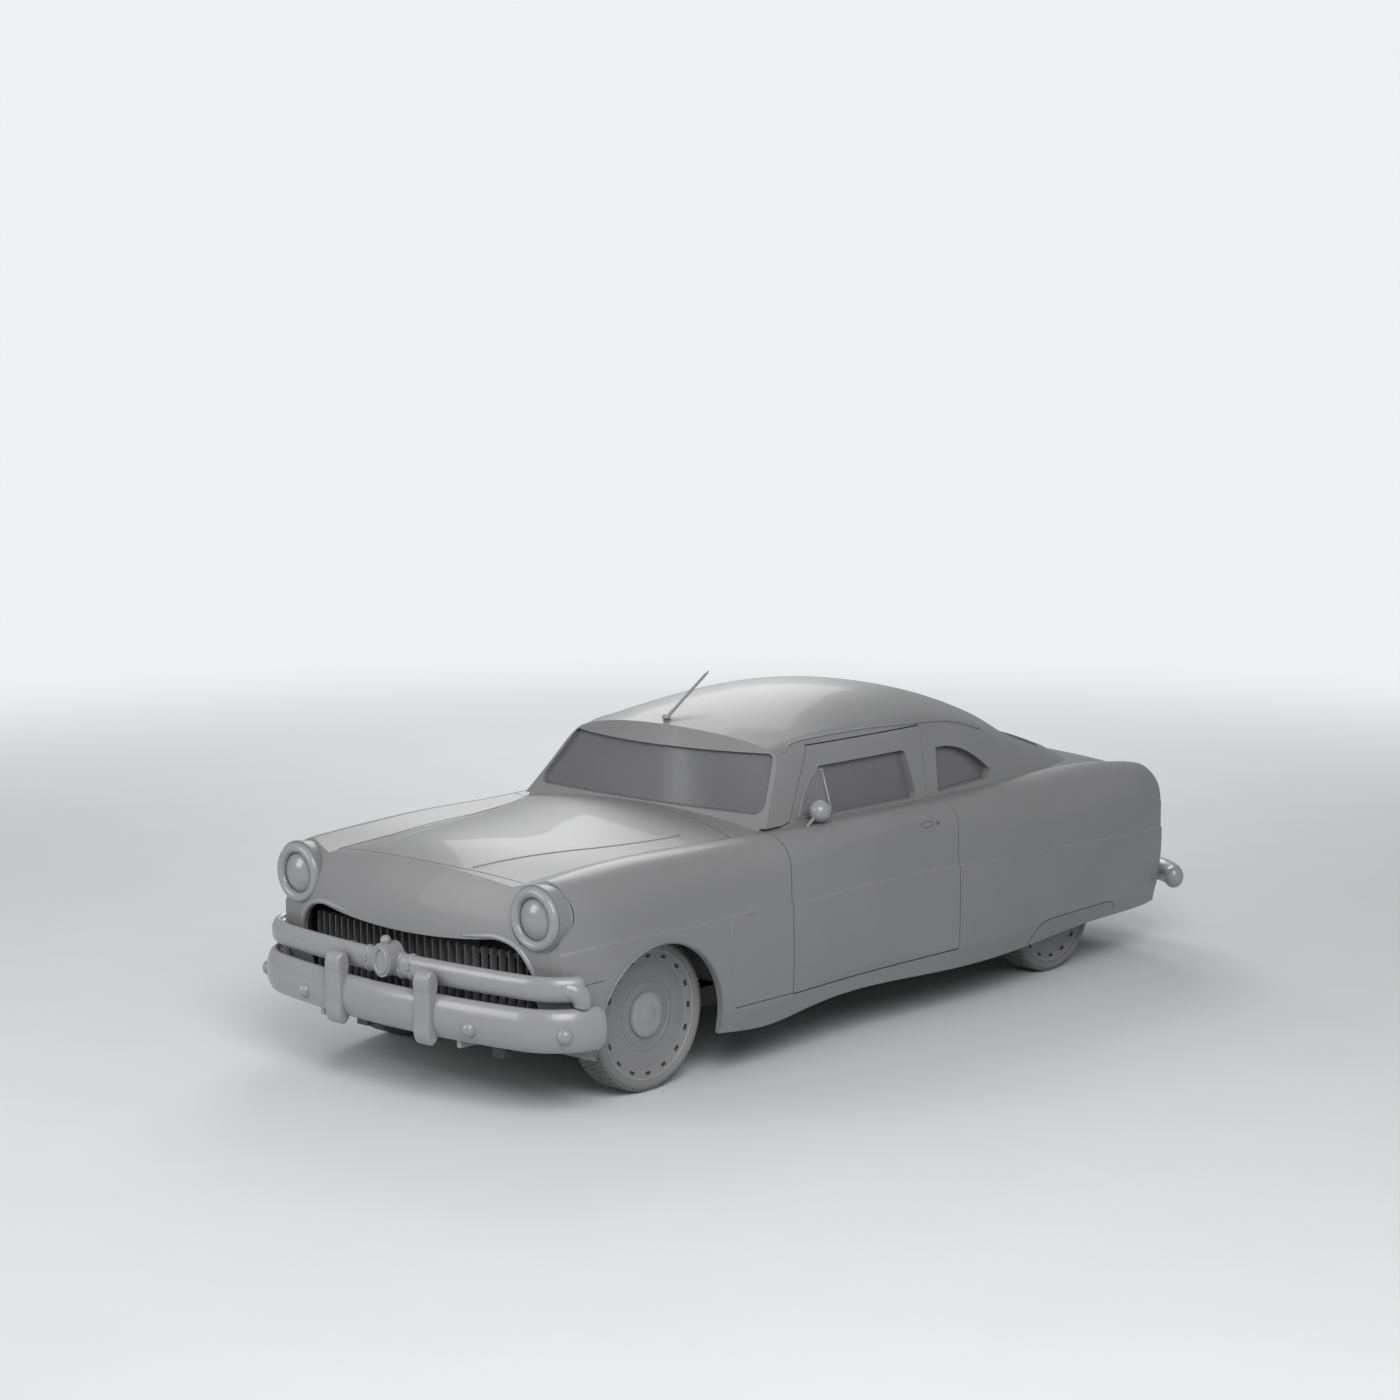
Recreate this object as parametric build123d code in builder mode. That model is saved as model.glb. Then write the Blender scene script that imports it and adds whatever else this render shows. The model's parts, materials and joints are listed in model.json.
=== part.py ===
"""A two-door 1950s coupe: body panels, glass, bumpers, cabin, running gear and wheels.

Millimetres. +X is the car's left side, +Y runs to the tail, +Z is up, and the ground is Z = 0.
"""

import os
from collections import namedtuple
from math import asin, copysign, cos, degrees, radians, sin, sqrt

from build123d import *

os.makedirs("parts", exist_ok=True)

# Overall stance
FRONT_AXLE_Y = -1708
REAR_AXLE_Y = 1385
TYRE_RADIUS = 342
TYRE_WIDTH = 176
TYRE_BEAD_SHARE = 0.86
TYRE_SHOULDER_SHARE = 0.78
TYRE_TREAD_SHARE = 0.68
TYRE_SHOULDER_DROP = 10
TYRE_WALL_SWELL = 22
FRONT_TRACK = 1494
REAR_TRACK = 1418

# Clearances
PANEL_GAP = 6
SEAT_GAP = 0.3
FAR = 3000
OPEN_BELOW = 60

# Body walls
GLASS_THICKNESS = 6
PILLAR_WALL = 38
ROOF_WALL = 30
GLASS_INSET = 22

# Lower body: one row per cross-section, front to rear.
# y, half width, sill height, sill crease height, step height, crest x and z, seam x and z, top z,
# side wall thickness, top wall thickness
Section = namedtuple("Section", "y half sill crease step crest_x crest_z seam_x seam_z top_z side_wall top_wall")
BODY_SECTIONS = [
    Section(-2440, 790, 350, 430, 700, 690, 976, 560, 950, 990, 26, 20),
    Section(-2310, 888, 300, 392, 712, 742, 1002, 588, 968, 1016, 26, 20),
    Section(-2160, 932, 242, 336, 728, 742, 1018, 592, 980, 1046, 26, 20),
    Section(-1850, 958, 217, 316, 733, 744, 1036, 594, 1000, 1068, 26, 20),
    Section(-1350, 968, 216, 313, 733, 776, 1042, 640, 1012, 1086, 30, 20),
    Section(-880, 975, 216, 318, 729, 812, 1038, 760, 1030, 1090, 58, 20),
    Section(330, 975, 220, 328, 726, 812, 1036, 740, 1034, 1084, 58, 20),
    Section(1190, 962, 244, 332, 692, 716, 1030, 600, 1020, 1080, 40, 22),
    Section(1750, 935, 256, 340, 668, 722, 1032, 590, 1010, 1066, 34, 22),
    Section(2170, 898, 262, 352, 648, 740, 992, 560, 976, 1014, 34, 22),
    Section(2440, 820, 330, 420, 640, 680, 900, 520, 890, 926, 34, 22),
]
STEP_RELIEF = 9
STEP_HEIGHT = 12
SILL_TUCK = 22
SIDE_BULGE = 5

# Greenhouse: one row per cross-section. y, half width at the belt, drip x and z, roof z
Roof = namedtuple("Roof", "y belt_x drip_x drip_z top_z")
ROOF_SECTIONS = [
    Roof(-980, 800, 665, 1290, 1372),
    Roof(-640, 796, 656, 1352, 1474),
    Roof(-300, 788, 650, 1386, 1542),
    Roof(240, 776, 642, 1390, 1568),
    Roof(760, 752, 612, 1352, 1500),
    Roof(1240, 700, 560, 1215, 1372),
    Roof(1640, 612, 486, 1108, 1208),
    Roof(1960, 500, 380, 1030, 1070),
]
GREENHOUSE_FLOOR = 985
DRIP_RADIUS = 62

# Windshield: plan arcs at two heights. z, corner x, corner y, centre y
Arc = namedtuple("Arc", "z corner_x corner_y centre_y")
WINDSHIELD_ARCS = [Arc(985, 830, -926, -940), Arc(1420, 700, -556, -762)]
WINDSHIELD_FORM_LOW_Z = 860
WINDSHIELD_FORM_HIGH_Z = 1700
WINDSHIELD_BASE_Z = 1096
WINDSHIELD_TOP_Z = 1352
POST_WIDTH = 52

# Doors
DOOR_FRONT_Y = -912
DOOR_BOTTOM_Z = 322
DOOR_TOP_Z = 1366
DOOR_HINGE_X = 981
# Rear edge of the door at window height, as radius from the hinge line
DOOR_REAR_PROFILE = [(900, 1241), (1030, 1272), (1320, 1372), (1440, 1412)]

DOOR_POST_LINE = [(-912, 1040), (-762, 1040), (-700, 1052), (-438, 1366)]
DOOR_INNER_X = 380
# Below the belt and ahead of the window, the door starts this far from the middle: x, y and z
DOOR_BELT = (748, -780, 1048)
DOOR_MAX_Y = 560

# Side windows, as outlines in the YZ plane
DOOR_WINDOW = [(-590, 1052), (-400, 1272), (262, 1272), (272, 1046)]
QUARTER_WINDOW_FRONT = [(446, 1046), (520, 1252)]
QUARTER_WINDOW_TIP = (958, 1092)
QUARTER_WINDOW_TOP = (790, 1204)
QUARTER_WINDOW_HEEL = (905, 1058)
WINDOW_CORNER = 26

# Hood, cowl and nose
HOOD_FRONT_Y = -2312
HOOD_CORNER_Y = -2236
HOOD_REAR_Y = -962
HOOD_REAR_CORNER_Y = -1046
HOOD_SIDE = [(-2236, 592), (-1900, 592), (-1350, 640), (-1046, 700)]
FIREWALL_Y = -880
FIREWALL_THICKNESS = 16
# Firewall plates: half width, low and high edge
FIREWALL_STEPS = [(850, 291.3, 930), (680, 930, 1100)]

# Hinge straps: near and far end of the block, lowest z, top of the arm and top of the block
STRAP_X = 300
STRAP_HALF = 10
HOOD_STRAP = (-1000, -1100, 1028, 1046, 1072)
LID_STRAP = (1994, 2060, 975, 993, 1010)
LID_BRACKET_Y = 1975

# Trunk lid
LID_FRONT_Y = 1985
LID_FRONT_HALF = 520
LID_REAR_HALF = 600
LID_BOTTOM_Z = 640

# Rounded ends of the body: plan radius, and profile points as y and z from the top down
NOSE_RADIUS = 3936
NOSE_LIP = (-2416, 715)
NOSE_PROFILE = [(-2285, 1120), (-2312, 1040), (-2382, 890), NOSE_LIP, (-2392, 520), (-2320, 300), (-2320, 120)]
NOSE_WALL = 24
TAIL_RADIUS = 2600
TAIL_PROFILE = [(2240, 1120), (2300, 1000), (2372, 870), (2392, 700), (2376, 520), (2330, 330), (2330, 120)]
TAIL_WALL = 28

# Grille mouth in the front face: half widths and heights
MOUTH_HALF = 738
MOUTH_LOW_Z = 420
MOUTH_SIDE_Z = 590
MOUTH_TOP_X = 545
MOUTH_TOP_Z = 747
MOUTH_MIDDLE_Z = 712

# Wheel openings
ARCH_RADIUS = 375
ARCH_Y = -1765
ARCH_Z = 310
SKIRT_FRONT_Y = 923
SKIRT_REAR_Y = 1743
SKIRT_TOP_Z = 342
SKIRT_TOP_INSET = 140

# Steering and axles
KINGPIN_X = 640
KINGPIN_RADIUS = 17
BEAM_HALF = 576
BEAM_HEIGHT = 40
BEAM_Z = 299.3
ARM_LOW_Z = 235
ARM_HIGH_Z = 430
SPINDLE_RADIUS = 16
RUNNING_GAP = 0.05

# Wheels: radii from the hub out, and how far each lies outside the tyre's middle plane
DISC_RADIUS = 288

# Lamps
LAMP_X = 759
LAMP_Y = -2337
LAMP_Z = 859
BEZEL_RADIUS = 138
LENS_RADIUS = 92
POD_RADIUS = 146
POD_LENGTH = 190
POCKET_DEPTH = 92

# Bumpers and grille bar: path points in plan, bar height and depth
BUMPER_Z = 405
BUMPER_HALF_HEIGHT = 94
BUMPER_HALF_DEPTH = 42
BUMPER_FRONT_Y = -2556
BUMPER_BEND = (770, -2435)
BUMPER_END = (984, -2200)
GUARD_X = 285
GUARD_LOW_Z = 276
GUARD_HIGH_Z = 602
GRILLE_BAR_Z = 580
GRILLE_BAR_FRONT_Y = -2500
GRILLE_BAR_BEND = (780, -2408)
GRILLE_BAR_END = (950, -2280)
GRILLE_BAR_HALF_HEIGHT = 54
GRILLE_BAR_HALF_DEPTH = 30
GRILLE_Y = -2345
GRILLE_RAIL_ZS = (446, 668)
GRILLE_RAIL_SIZE = (12, 24)
GRILLE_STAY_X = 240
FIN_COUNT = 29
FIN_PITCH = 48
FIN_THICKNESS = 6
FIN_DEPTH = 34
REAR_BUMPER_Z = 380
REAR_BUMPER_Y = 2518
REAR_BUMPER_BEND = (700, 2440)
REAR_BUMPER_END = (932, 2290)

# Round end of a bar: reach past its last section, and what is left of its size there
BAR_TIP = [(0, 1), (0.5, 0.87), (0.8, 0.6), (0.97, 0.24)]
GUARD_Y = -2533
GUARD_DEPTH = 74
GUARD_ROUND = 15
GUARD_WIDTH = 96
GUARD_LOBE = 62
IRON_SEAT_Y = 2150
IRON_SIZE = (24, 70)
IRON_ROOM = 3
IRON_REACH = (2486, 2484)
REAR_BUMPER_HALF_HEIGHT = 62
REAR_BUMPER_HALF_DEPTH = 52
FIN_HEIGHT = 272
BAR_STAY_X = 384
BOSS_Z = 600
BOSS_WIDTH = 116
BOSS_HEIGHT = 150
LENS_DOME = 34
TAIL_LAMP_X = 800
TAIL_LAMP_Y = 2215
TAIL_LAMP_Z = 760
TAIL_LAMP_DEPTH = 88
TAIL_LAMP_SIZE = (40, 70)
MIRROR_BALL = (840, -570, 1097)
MIRROR_FOOT = (836, -684, 1020)
MIRROR_RADIUS = 52
ANTENNA_FOOT = (0, -690, 1461)
ANTENNA_TIP = (0, -405, 1661)

# Running gear
RAIL_X = 440
RAIL_Z = 233.7
RAIL_SIZE = (70, 90)
RAIL_FRONT_Y = -2255
RAIL_REAR_Y = 2230
CROSSMEMBER_HEIGHT = 40
CROSSMEMBER_YS = [-2160, -900, 0, 900, 2120]
TOW_EYE_Y = -2222
TOW_EYE_RADIUS = 16
# Floor plates on each side of the middle: low and high x, y and z
FLOOR_PLATES = [
    (0, 878, -872, 1020, 279, 291),
    (0, 560, 1014, 1026, 279, 606),
    (0, 560, 1014, 1740, 594, 606),
    (548, 560, 1014, 1752, 594, 726),
    (548, 878, 1014, 1752, 714, 726),
    (548, 878, 1014, 1026, 291, 726),
    (548, 860, 1740, 1752, 514, 726),
    (0, 560, 1734, 1746, 514, 606),
    (0, 745, 1740, 2200, 514, 526),
]
ENGINE_BOX = (420, 900, 520)
ENGINE_CENTRE = (0, -1500, 579.6)
RADIATOR_BOX = (620, 70, 600)
RADIATOR_Y = -2200
RADIATOR_Z = 579
TANK_BOX = (760, 460, 180)
TANK_Y = 2020
TANK_Z = 423.7
EXHAUST_Z = 214.4
EXHAUST_POINTS = [
    (-260, -1200, 300),
    (-260, -960, EXHAUST_Z),
    (-320, 500, EXHAUST_Z),
    (-350, 1500, EXHAUST_Z),
    (-350, 2330, EXHAUST_Z),
]
MUFFLER_CENTRE = (-320, 340, 205)
DASH_HALF = 700
STEERING_CENTRE = (380, -420, 930)
STEERING_TILT = 35
STEERING_RADIUS = 215
COLUMN_LENGTH = 534
# Benches: front edge, seat height, back top, width, cushion depth, lean of the back
BENCH_LOW_Z = 291.3
FRONT_BENCH = (-330, 560, 960, 1480, 470, 110)
REAR_BENCH = (480, 590, 950, 1090, 350, 90)
REAR_HUB_X = 610
SPINDLE_LENGTH = 152
SPRING_Z = 287.3
SPRING_HALF = 350
SPRING_BLOCK = 54
SPRING_WIDTH = 56
SPRING_THICKNESS = 16
SPRING_SEAT = 90
AXLE_TUBE_RADIUS = 38
HOUSING_PROFILE = [(125, 38), (98, 78), (62, 108), (24, 120)]
# Wheel section: radius, and how far outboard of the tyre's middle plane
WHEEL_PROFILE = [
    (0, 60),
    (0, 72),
    (100, 66),
    (104, 54),
    (150, 50),
    (240, 58),
    (280, 72),
    (288, 72),
    (288, -74),
    (280, -74),
    (280, 50),
    (240, 46),
    (150, 38),
    (60, 34),
    (60, -30),
    (SPINDLE_RADIUS + RUNNING_GAP, -30),
    (SPINDLE_RADIUS + RUNNING_GAP, 60),
]
WHEELS = [
    ("front_left", FRONT_TRACK / 2, FRONT_AXLE_Y, 1),
    ("front_right", -FRONT_TRACK / 2, FRONT_AXLE_Y, -1),
    ("rear_left", REAR_TRACK / 2, REAR_AXLE_Y, 1),
    ("rear_right", -REAR_TRACK / 2, REAR_AXLE_Y, -1),
]


def side_plane(x):
    """A vertical plane at x whose drawing axes are Y and Z."""
    return Plane(origin=(x, 0, 0), x_dir=(0, 1, 0), z_dir=(1, 0, 0))


def body_outline(row, side, top, bottom):
    """Closed body section, moved in by side and top, with its flat underside at bottom above the sill."""
    half = row.half - side
    sill = row.sill + bottom
    shoulder = half - STEP_RELIEF - SIDE_BULGE
    crest_x = row.crest_x - side * 0.5
    crest_z = row.crest_z - top
    width = shoulder - crest_x
    shoulder_z = crest_z - width
    seam_x = row.seam_x - side * 0.3
    seam_z = row.seam_z - top
    right = [
        (half - SILL_TUCK, sill),
        (half, row.crease),
        (half, row.step),
        (half - STEP_RELIEF, row.step + STEP_HEIGHT),
        (shoulder, shoulder_z),
        (crest_x, crest_z),
        (seam_x, seam_z),
    ]
    diagonal = sqrt(0.5)
    with BuildLine() as outline:
        for sign in (1, -1):
            p = [(sign * x, z) for x, z in right]
            Line(p[0], p[1])
            middle = (sign * (half + SIDE_BULGE), (row.crease + row.step) / 2)
            ThreePointArc(p[1], middle, p[2])
            Line(p[2], p[3])
            Line(p[3], p[4])
            bend = (sign * (crest_x + width * diagonal), shoulder_z + width * diagonal)
            ThreePointArc(p[4], bend, p[5])
            Line(p[5], p[6])
        ThreePointArc((-seam_x, seam_z), (0, row.top_z - top), (seam_x, seam_z))
        Line((-right[0][0], sill), (right[0][0], sill))
    return outline.line


def end_region(radius, profile, inset):
    """A disc about a vertical axis whose rim is the rounded nose or tail of the body."""
    sign = 1 if profile[0][0] > 0 else -1
    reach = max(sign * y for y, z in profile)
    points = [(radius - reach + sign * y - inset, z) for y, z in profile]
    with BuildPart() as region:
        with BuildSketch(Plane.XZ):
            with BuildLine():
                Line((0, points[0][1]), points[0])
                Line(points[0], points[1])
                ThreePointArc(points[1], points[2], points[3])
                ThreePointArc(points[3], points[4], points[5])
                Line(points[5], points[6])
                Line(points[6], (0, points[6][1]))
                Line((0, points[6][1]), (0, points[0][1]))
            make_face()
        revolve(axis=Axis.Z)
    return Pos(0, sign * (reach - radius), 0) * region.part


def body_form(inner):
    """The lower body as one solid, or the space inside its walls."""
    nose_inset = NOSE_WALL if inner else 0
    tail_inset = TAIL_WALL if inner else 0
    nose = end_region(NOSE_RADIUS, NOSE_PROFILE, nose_inset)
    tail = end_region(TAIL_RADIUS, TAIL_PROFILE, tail_inset)
    with BuildPart() as form:
        for row in BODY_SECTIONS:
            walls = (row.side_wall, row.top_wall, -OPEN_BELOW) if inner else (0, 0, 0)
            outline = body_outline(row, *walls)
            with BuildSketch(Plane.XZ.offset(-row.y)):
                add(outline)
                make_face()
        loft()
        add(nose, mode=Mode.INTERSECT)
        add(tail, mode=Mode.INTERSECT)
    return form.part


def greenhouse_outline(row, inset, roof_inset, floor):
    """Closed cabin section: leaning sides, a soft drip edge and a crowned roof."""
    belt = row.belt_x - inset
    drip_x = row.drip_x - inset
    drip_z = row.drip_z - roof_inset
    top_z = row.top_z - roof_inset
    lean = (belt - drip_x) / (drip_z - floor)
    low = (drip_x + lean * DRIP_RADIUS, drip_z - DRIP_RADIUS)
    rise = 2 * (top_z - drip_z) / drip_x
    high = (drip_x - DRIP_RADIUS, drip_z + rise * DRIP_RADIUS)
    bend = ((low[0] + 2 * drip_x + high[0]) / 4, (low[1] + 2 * drip_z + high[1]) / 4)
    with BuildLine() as outline:
        for sign in (1, -1):
            Line((sign * belt, floor), (sign * low[0], low[1]))
            ThreePointArc((sign * low[0], low[1]), (sign * bend[0], bend[1]), (sign * high[0], high[1]))
        ThreePointArc((-high[0], high[1]), (0, top_z), high)
        Line((-belt, floor), (belt, floor))
    return outline.line


def greenhouse_form(inset, roof_inset, floor=GREENHOUSE_FLOOR):
    """The closed form of the cabin above the belt, moved in from its outer skin."""
    with BuildPart() as form:
        for row in ROOF_SECTIONS:
            outline = greenhouse_outline(row, inset, roof_inset, floor)
            with BuildSketch(Plane.XZ.offset(-row.y)):
                add(outline)
                make_face()
        loft()
    return form.part


def windshield_arc(z):
    """The windshield's plan arc at a height, from the two arcs that set its lean."""
    low, high = WINDSHIELD_ARCS
    part = (z - low.z) / (high.z - low.z)
    sizes = [a + (b - a) * part for a, b in zip(low[1:], high[1:])]
    return Arc(z, *sizes)


def behind_windshield(inset):
    """Everything behind the windshield's curved face, moved back by inset."""
    with BuildPart() as region:
        for z in (WINDSHIELD_FORM_LOW_Z, WINDSHIELD_FORM_HIGH_Z):
            arc = windshield_arc(z)
            x, y, middle = arc.corner_x, arc.corner_y + inset, arc.centre_y + inset
            with BuildSketch(Plane.XY.offset(z)):
                with BuildLine():
                    ThreePointArc((-x, y), (0, middle), (x, y))
                    Polyline((x, y), (x, FAR), (-x, FAR), (-x, y))
                make_face()
        loft(ruled=True)
    return region.part


def boxed(low, high):
    """A plain box between two corners."""
    size = [b - a for a, b in zip(low, high)]
    middle = [(a + b) / 2 for a, b in zip(low, high)]
    return Pos(*middle) * Box(*size, mode=Mode.PRIVATE)


def side_prism(points, grow, x_low, x_high, corner=0):
    """An outline in YZ, moved out by grow, extruded along X."""
    with BuildPart() as prism:
        with BuildSketch(side_plane(x_low)) as outline:
            with BuildLine():
                Polyline(*points, close=True)
            make_face()
            if corner:
                fillet(outline.vertices(), corner)
            if grow:
                offset(amount=grow, kind=Kind.INTERSECTION)
        extrude(amount=x_high - x_low)
    return prism.part


def top_prism(points, grow, z_low, z_high, corner=0):
    """An outline in XY, moved out by grow, extruded along Z."""
    with BuildPart() as prism:
        with BuildSketch(Plane.XY.offset(z_low)) as outline:
            with BuildLine():
                Polyline(*points, close=True)
            make_face()
            if corner:
                fillet(outline.vertices(), corner)
            if grow:
                offset(amount=grow, kind=Kind.INTERSECTION)
        extrude(amount=z_high - z_low)
    return prism.part


def both_sides(points):
    """Right-hand XY points, then the same points mirrored, as one closed outline."""
    return points + [(-x, y) for x, y in reversed(points)]


def mirrored(part):
    """The same piece on the car's other side."""
    with BuildPart() as other:
        mirror(part, about=Plane.YZ)
    return other.part


def save(part, name):
    """Labels a finished piece and writes it as a node of its own."""
    part.label = name
    export_step(part, f"parts/{name}.step")


def irons(grow, y_low, y_high):
    """The two bumper irons that lie on the rails and pass through the body's end."""
    low_z = RAIL_Z + RAIL_SIZE[1] / 2 + SEAT_GAP
    half = IRON_SIZE[0] / 2 + grow
    pair = [
        boxed((x - half, y_low, low_z - grow), (x + half, y_high, low_z + IRON_SIZE[1] + grow))
        for x in (-RAIL_X, RAIL_X)
    ]
    return pair


def strap_boxes(strap, end_y):
    """The two hinge straps under a lid: a block in its skin and a flat arm that ends at end_y."""
    block_y, far_y, low_z, arm_z, high_z = strap
    near, far = sorted((block_y, far_y))
    start, end = sorted((block_y, end_y))
    boxes = []
    for x in (-STRAP_X, STRAP_X):
        low_x, high_x = x - STRAP_HALF, x + STRAP_HALF
        boxes.append(boxed((low_x, near, low_z), (high_x, far, high_z)))
        boxes.append(boxed((low_x, start, low_z), (high_x, end, arm_z)))
    return boxes


def door_region(grow):
    """The left door's full outline, with its rear edge turned about the hinge line."""
    outline = [
        (DOOR_FRONT_Y, DOOR_BOTTOM_Z),
        *DOOR_POST_LINE,
        (DOOR_MAX_Y, DOOR_TOP_Z),
        (DOOR_MAX_Y, DOOR_BOTTOM_Z),
    ]
    prism = side_prism(outline, grow, DOOR_INNER_X, FAR / 2)
    hinge_plane = Plane(origin=(DOOR_HINGE_X, DOOR_FRONT_Y, 0), x_dir=(0, 1, 0), z_dir=(1, 0, 0))
    reach = [(radius + grow, z) for z, radius in DOOR_REAR_PROFILE]
    with BuildPart() as region:
        with BuildSketch(hinge_plane):
            with BuildLine():
                Polyline((0, 100), (reach[0][0], 100), *reach, (0, reach[-1][1]), close=True)
            make_face()
        revolve(axis=Axis((DOOR_HINGE_X, DOOR_FRONT_Y, 0), (0, 0, 1)))
        add(prism, mode=Mode.INTERSECT)
        add(boxed((0, -FAR, 0), (DOOR_BELT[0] - grow, *DOOR_BELT[1:])), mode=Mode.SUBTRACT)
    return region.part


def hood_region(grow):
    """The hood's outline seen from above."""
    side = [(x, y) for y, x in HOOD_SIDE]
    with BuildPart() as region:
        with BuildSketch(Plane.XY.offset(900)):
            with BuildLine():
                ThreePointArc((-side[0][0], HOOD_CORNER_Y), (0, HOOD_FRONT_Y), (side[0][0], HOOD_CORNER_Y))
                for sign in (1, -1):
                    Polyline(*[(sign * x, y) for x, y in side])
                ThreePointArc((-side[-1][0], HOOD_REAR_CORNER_Y), (0, HOOD_REAR_Y), (side[-1][0], HOOD_REAR_CORNER_Y))
            make_face()
            if grow:
                offset(amount=grow, kind=Kind.INTERSECTION)
        extrude(amount=400)
    return region.part


def lid_region(grow):
    """The trunk lid's outline: from above, and down the tail to its lower edge."""
    outline = both_sides([(LID_FRONT_HALF, LID_FRONT_Y), (LID_REAR_HALF, LID_FRONT_Y + 300), (LID_REAR_HALF, 2600)])
    return top_prism(outline, grow, LID_BOTTOM_Z - grow, 1300)


# Closed forms that the panels are cut from
body_outer = body_form(False)
body_inner = body_form(True)
cabin_outer = greenhouse_form(0, 0)
cabin_inner = greenhouse_form(PILLAR_WALL, ROOF_WALL, GREENHOUSE_FLOOR - OPEN_BELOW)
door_cut = door_region(PANEL_GAP)
door_cuts = [door_cut, mirrored(door_cut)]

body_raised = Pos(0, 0, SEAT_GAP) * body_outer
behind_face = behind_windshield(0)
behind_header = behind_windshield(POST_WIDTH)

with BuildPart() as cabin_space:
    add(cabin_inner)
    add(behind_header, mode=Mode.INTERSECT)

with BuildPart() as lower_shell:
    add(body_outer)
    add(body_inner, mode=Mode.SUBTRACT)
    add(cabin_space.part, mode=Mode.SUBTRACT)

with BuildPart() as upper_shell:
    add(cabin_outer)
    add(behind_face, mode=Mode.INTERSECT)
    add(cabin_space.part, mode=Mode.SUBTRACT)
    add(body_raised, mode=Mode.SUBTRACT)

# Windows
door_window = side_prism(DOOR_WINDOW, 0, 300, 1000, WINDOW_CORNER)
door_pane_form = side_prism(DOOR_WINDOW, -SEAT_GAP, 300, 1000, WINDOW_CORNER)


def quarter_window(grow):
    """The rear side window: upright front edge, arched top and a pointed tail."""
    with BuildPart() as window:
        with BuildSketch(side_plane(300)) as outline:
            with BuildLine():
                Line(QUARTER_WINDOW_FRONT[0], QUARTER_WINDOW_FRONT[1])
                ThreePointArc(QUARTER_WINDOW_FRONT[1], QUARTER_WINDOW_TOP, QUARTER_WINDOW_TIP)
                Line(QUARTER_WINDOW_TIP, QUARTER_WINDOW_HEEL)
                Line(QUARTER_WINDOW_HEEL, QUARTER_WINDOW_FRONT[0])
            make_face()
            fillet(outline.vertices(), WINDOW_CORNER / 2)
            if grow:
                offset(amount=grow)
        extrude(amount=700)
    return window.part


def windshield_opening(grow):
    """The windshield's opening seen from the front."""
    low, high = windshield_arc(WINDSHIELD_BASE_Z), windshield_arc(WINDSHIELD_TOP_Z)
    x_low, x_high = 728, 632
    with BuildPart() as opening:
        with BuildSketch(Plane.XZ.offset(300)) as outline:
            with BuildLine():
                Polyline(
                    (-x_low, low.z), (x_low, low.z), (x_high, high.z), (-x_high, high.z), close=True
                )
            make_face()
            fillet(outline.vertices(), WINDOW_CORNER * 1.5)
            if grow:
                offset(amount=grow)
        extrude(amount=800)
    return opening.part


def rear_window_opening(grow):
    """The rear window's opening seen from above."""
    outline = both_sides([(490, 1290), (440, 1745)])
    return top_prism(outline, grow, 1020, 1500, 60)


quarter_left = quarter_window(0)
openings = [quarter_left, mirrored(quarter_left), windshield_opening(0), rear_window_opening(0)]

with BuildPart() as roof:
    add(upper_shell.part)
    for cut in [*door_cuts, *openings]:
        add(cut, mode=Mode.SUBTRACT)
save(roof.part, "roof")

door_form = door_region(0)
with BuildPart() as door_frame:
    add(cabin_outer)
    add(door_form, mode=Mode.INTERSECT)
    add(cabin_space.part, mode=Mode.SUBTRACT)
    add(body_outer, mode=Mode.SUBTRACT)
    add(boxed((0, -FAR, 0), (FAR, DOOR_POST_LINE[1][0], FAR)), mode=Mode.SUBTRACT)

with BuildPart() as door_left:
    add(lower_shell.part)
    add(door_form, mode=Mode.INTERSECT)
    add(door_frame.part)
    add(door_window, mode=Mode.SUBTRACT)
save(door_left.part, "door_left")

save(mirrored(door_left.part), "door_right")

# Fenders, nose, cowl, hood, lid and rear body, all from the lower shell
with BuildPart() as mouth:
    with BuildSketch(Plane.XZ.offset(-FAR / 2)):
        with BuildLine():
            top = (0, MOUTH_MIDDLE_Z)
            ThreePointArc((-MOUTH_TOP_X, MOUTH_TOP_Z), top, (MOUTH_TOP_X, MOUTH_TOP_Z))
            for sign in (1, -1):
                shoulder = (sign * (MOUTH_HALF - 50), MOUTH_SIDE_Z + 105)
                ThreePointArc((sign * MOUTH_TOP_X, MOUTH_TOP_Z), shoulder, (sign * MOUTH_HALF, MOUTH_SIDE_Z))
                Line((sign * MOUTH_HALF, MOUTH_SIDE_Z), (sign * MOUTH_HALF, MOUTH_LOW_Z))
            Line((-MOUTH_HALF, MOUTH_LOW_Z), (MOUTH_HALF, MOUTH_LOW_Z))
        make_face()
    extrude(amount=FAR + 1000)
front_mouth = mouth.part & boxed((-FAR, -FAR, 0), (FAR, -2200, FAR))

with BuildPart() as arches:
    with BuildSketch(side_plane(0)):
        with Locations((ARCH_Y, ARCH_Z)):
            Circle(ARCH_RADIUS)
        with Locations((ARCH_Y, 0)):
            Rectangle(2 * ARCH_RADIUS, 2 * ARCH_Z)
    extrude(amount=FAR / 2, both=True)

skirt_outline = [
    (SKIRT_FRONT_Y, 150),
    (SKIRT_FRONT_Y, 250),
    (SKIRT_FRONT_Y + SKIRT_TOP_INSET, SKIRT_TOP_Z),
    (SKIRT_REAR_Y - SKIRT_TOP_INSET / 2, SKIRT_TOP_Z),
    (SKIRT_REAR_Y, 250),
    (SKIRT_REAR_Y, 150),
]
skirt_form = side_prism(skirt_outline, 0, -1100, 1100)
skirt_cut = side_prism(skirt_outline, SEAT_GAP, -1100, 1100)

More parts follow.
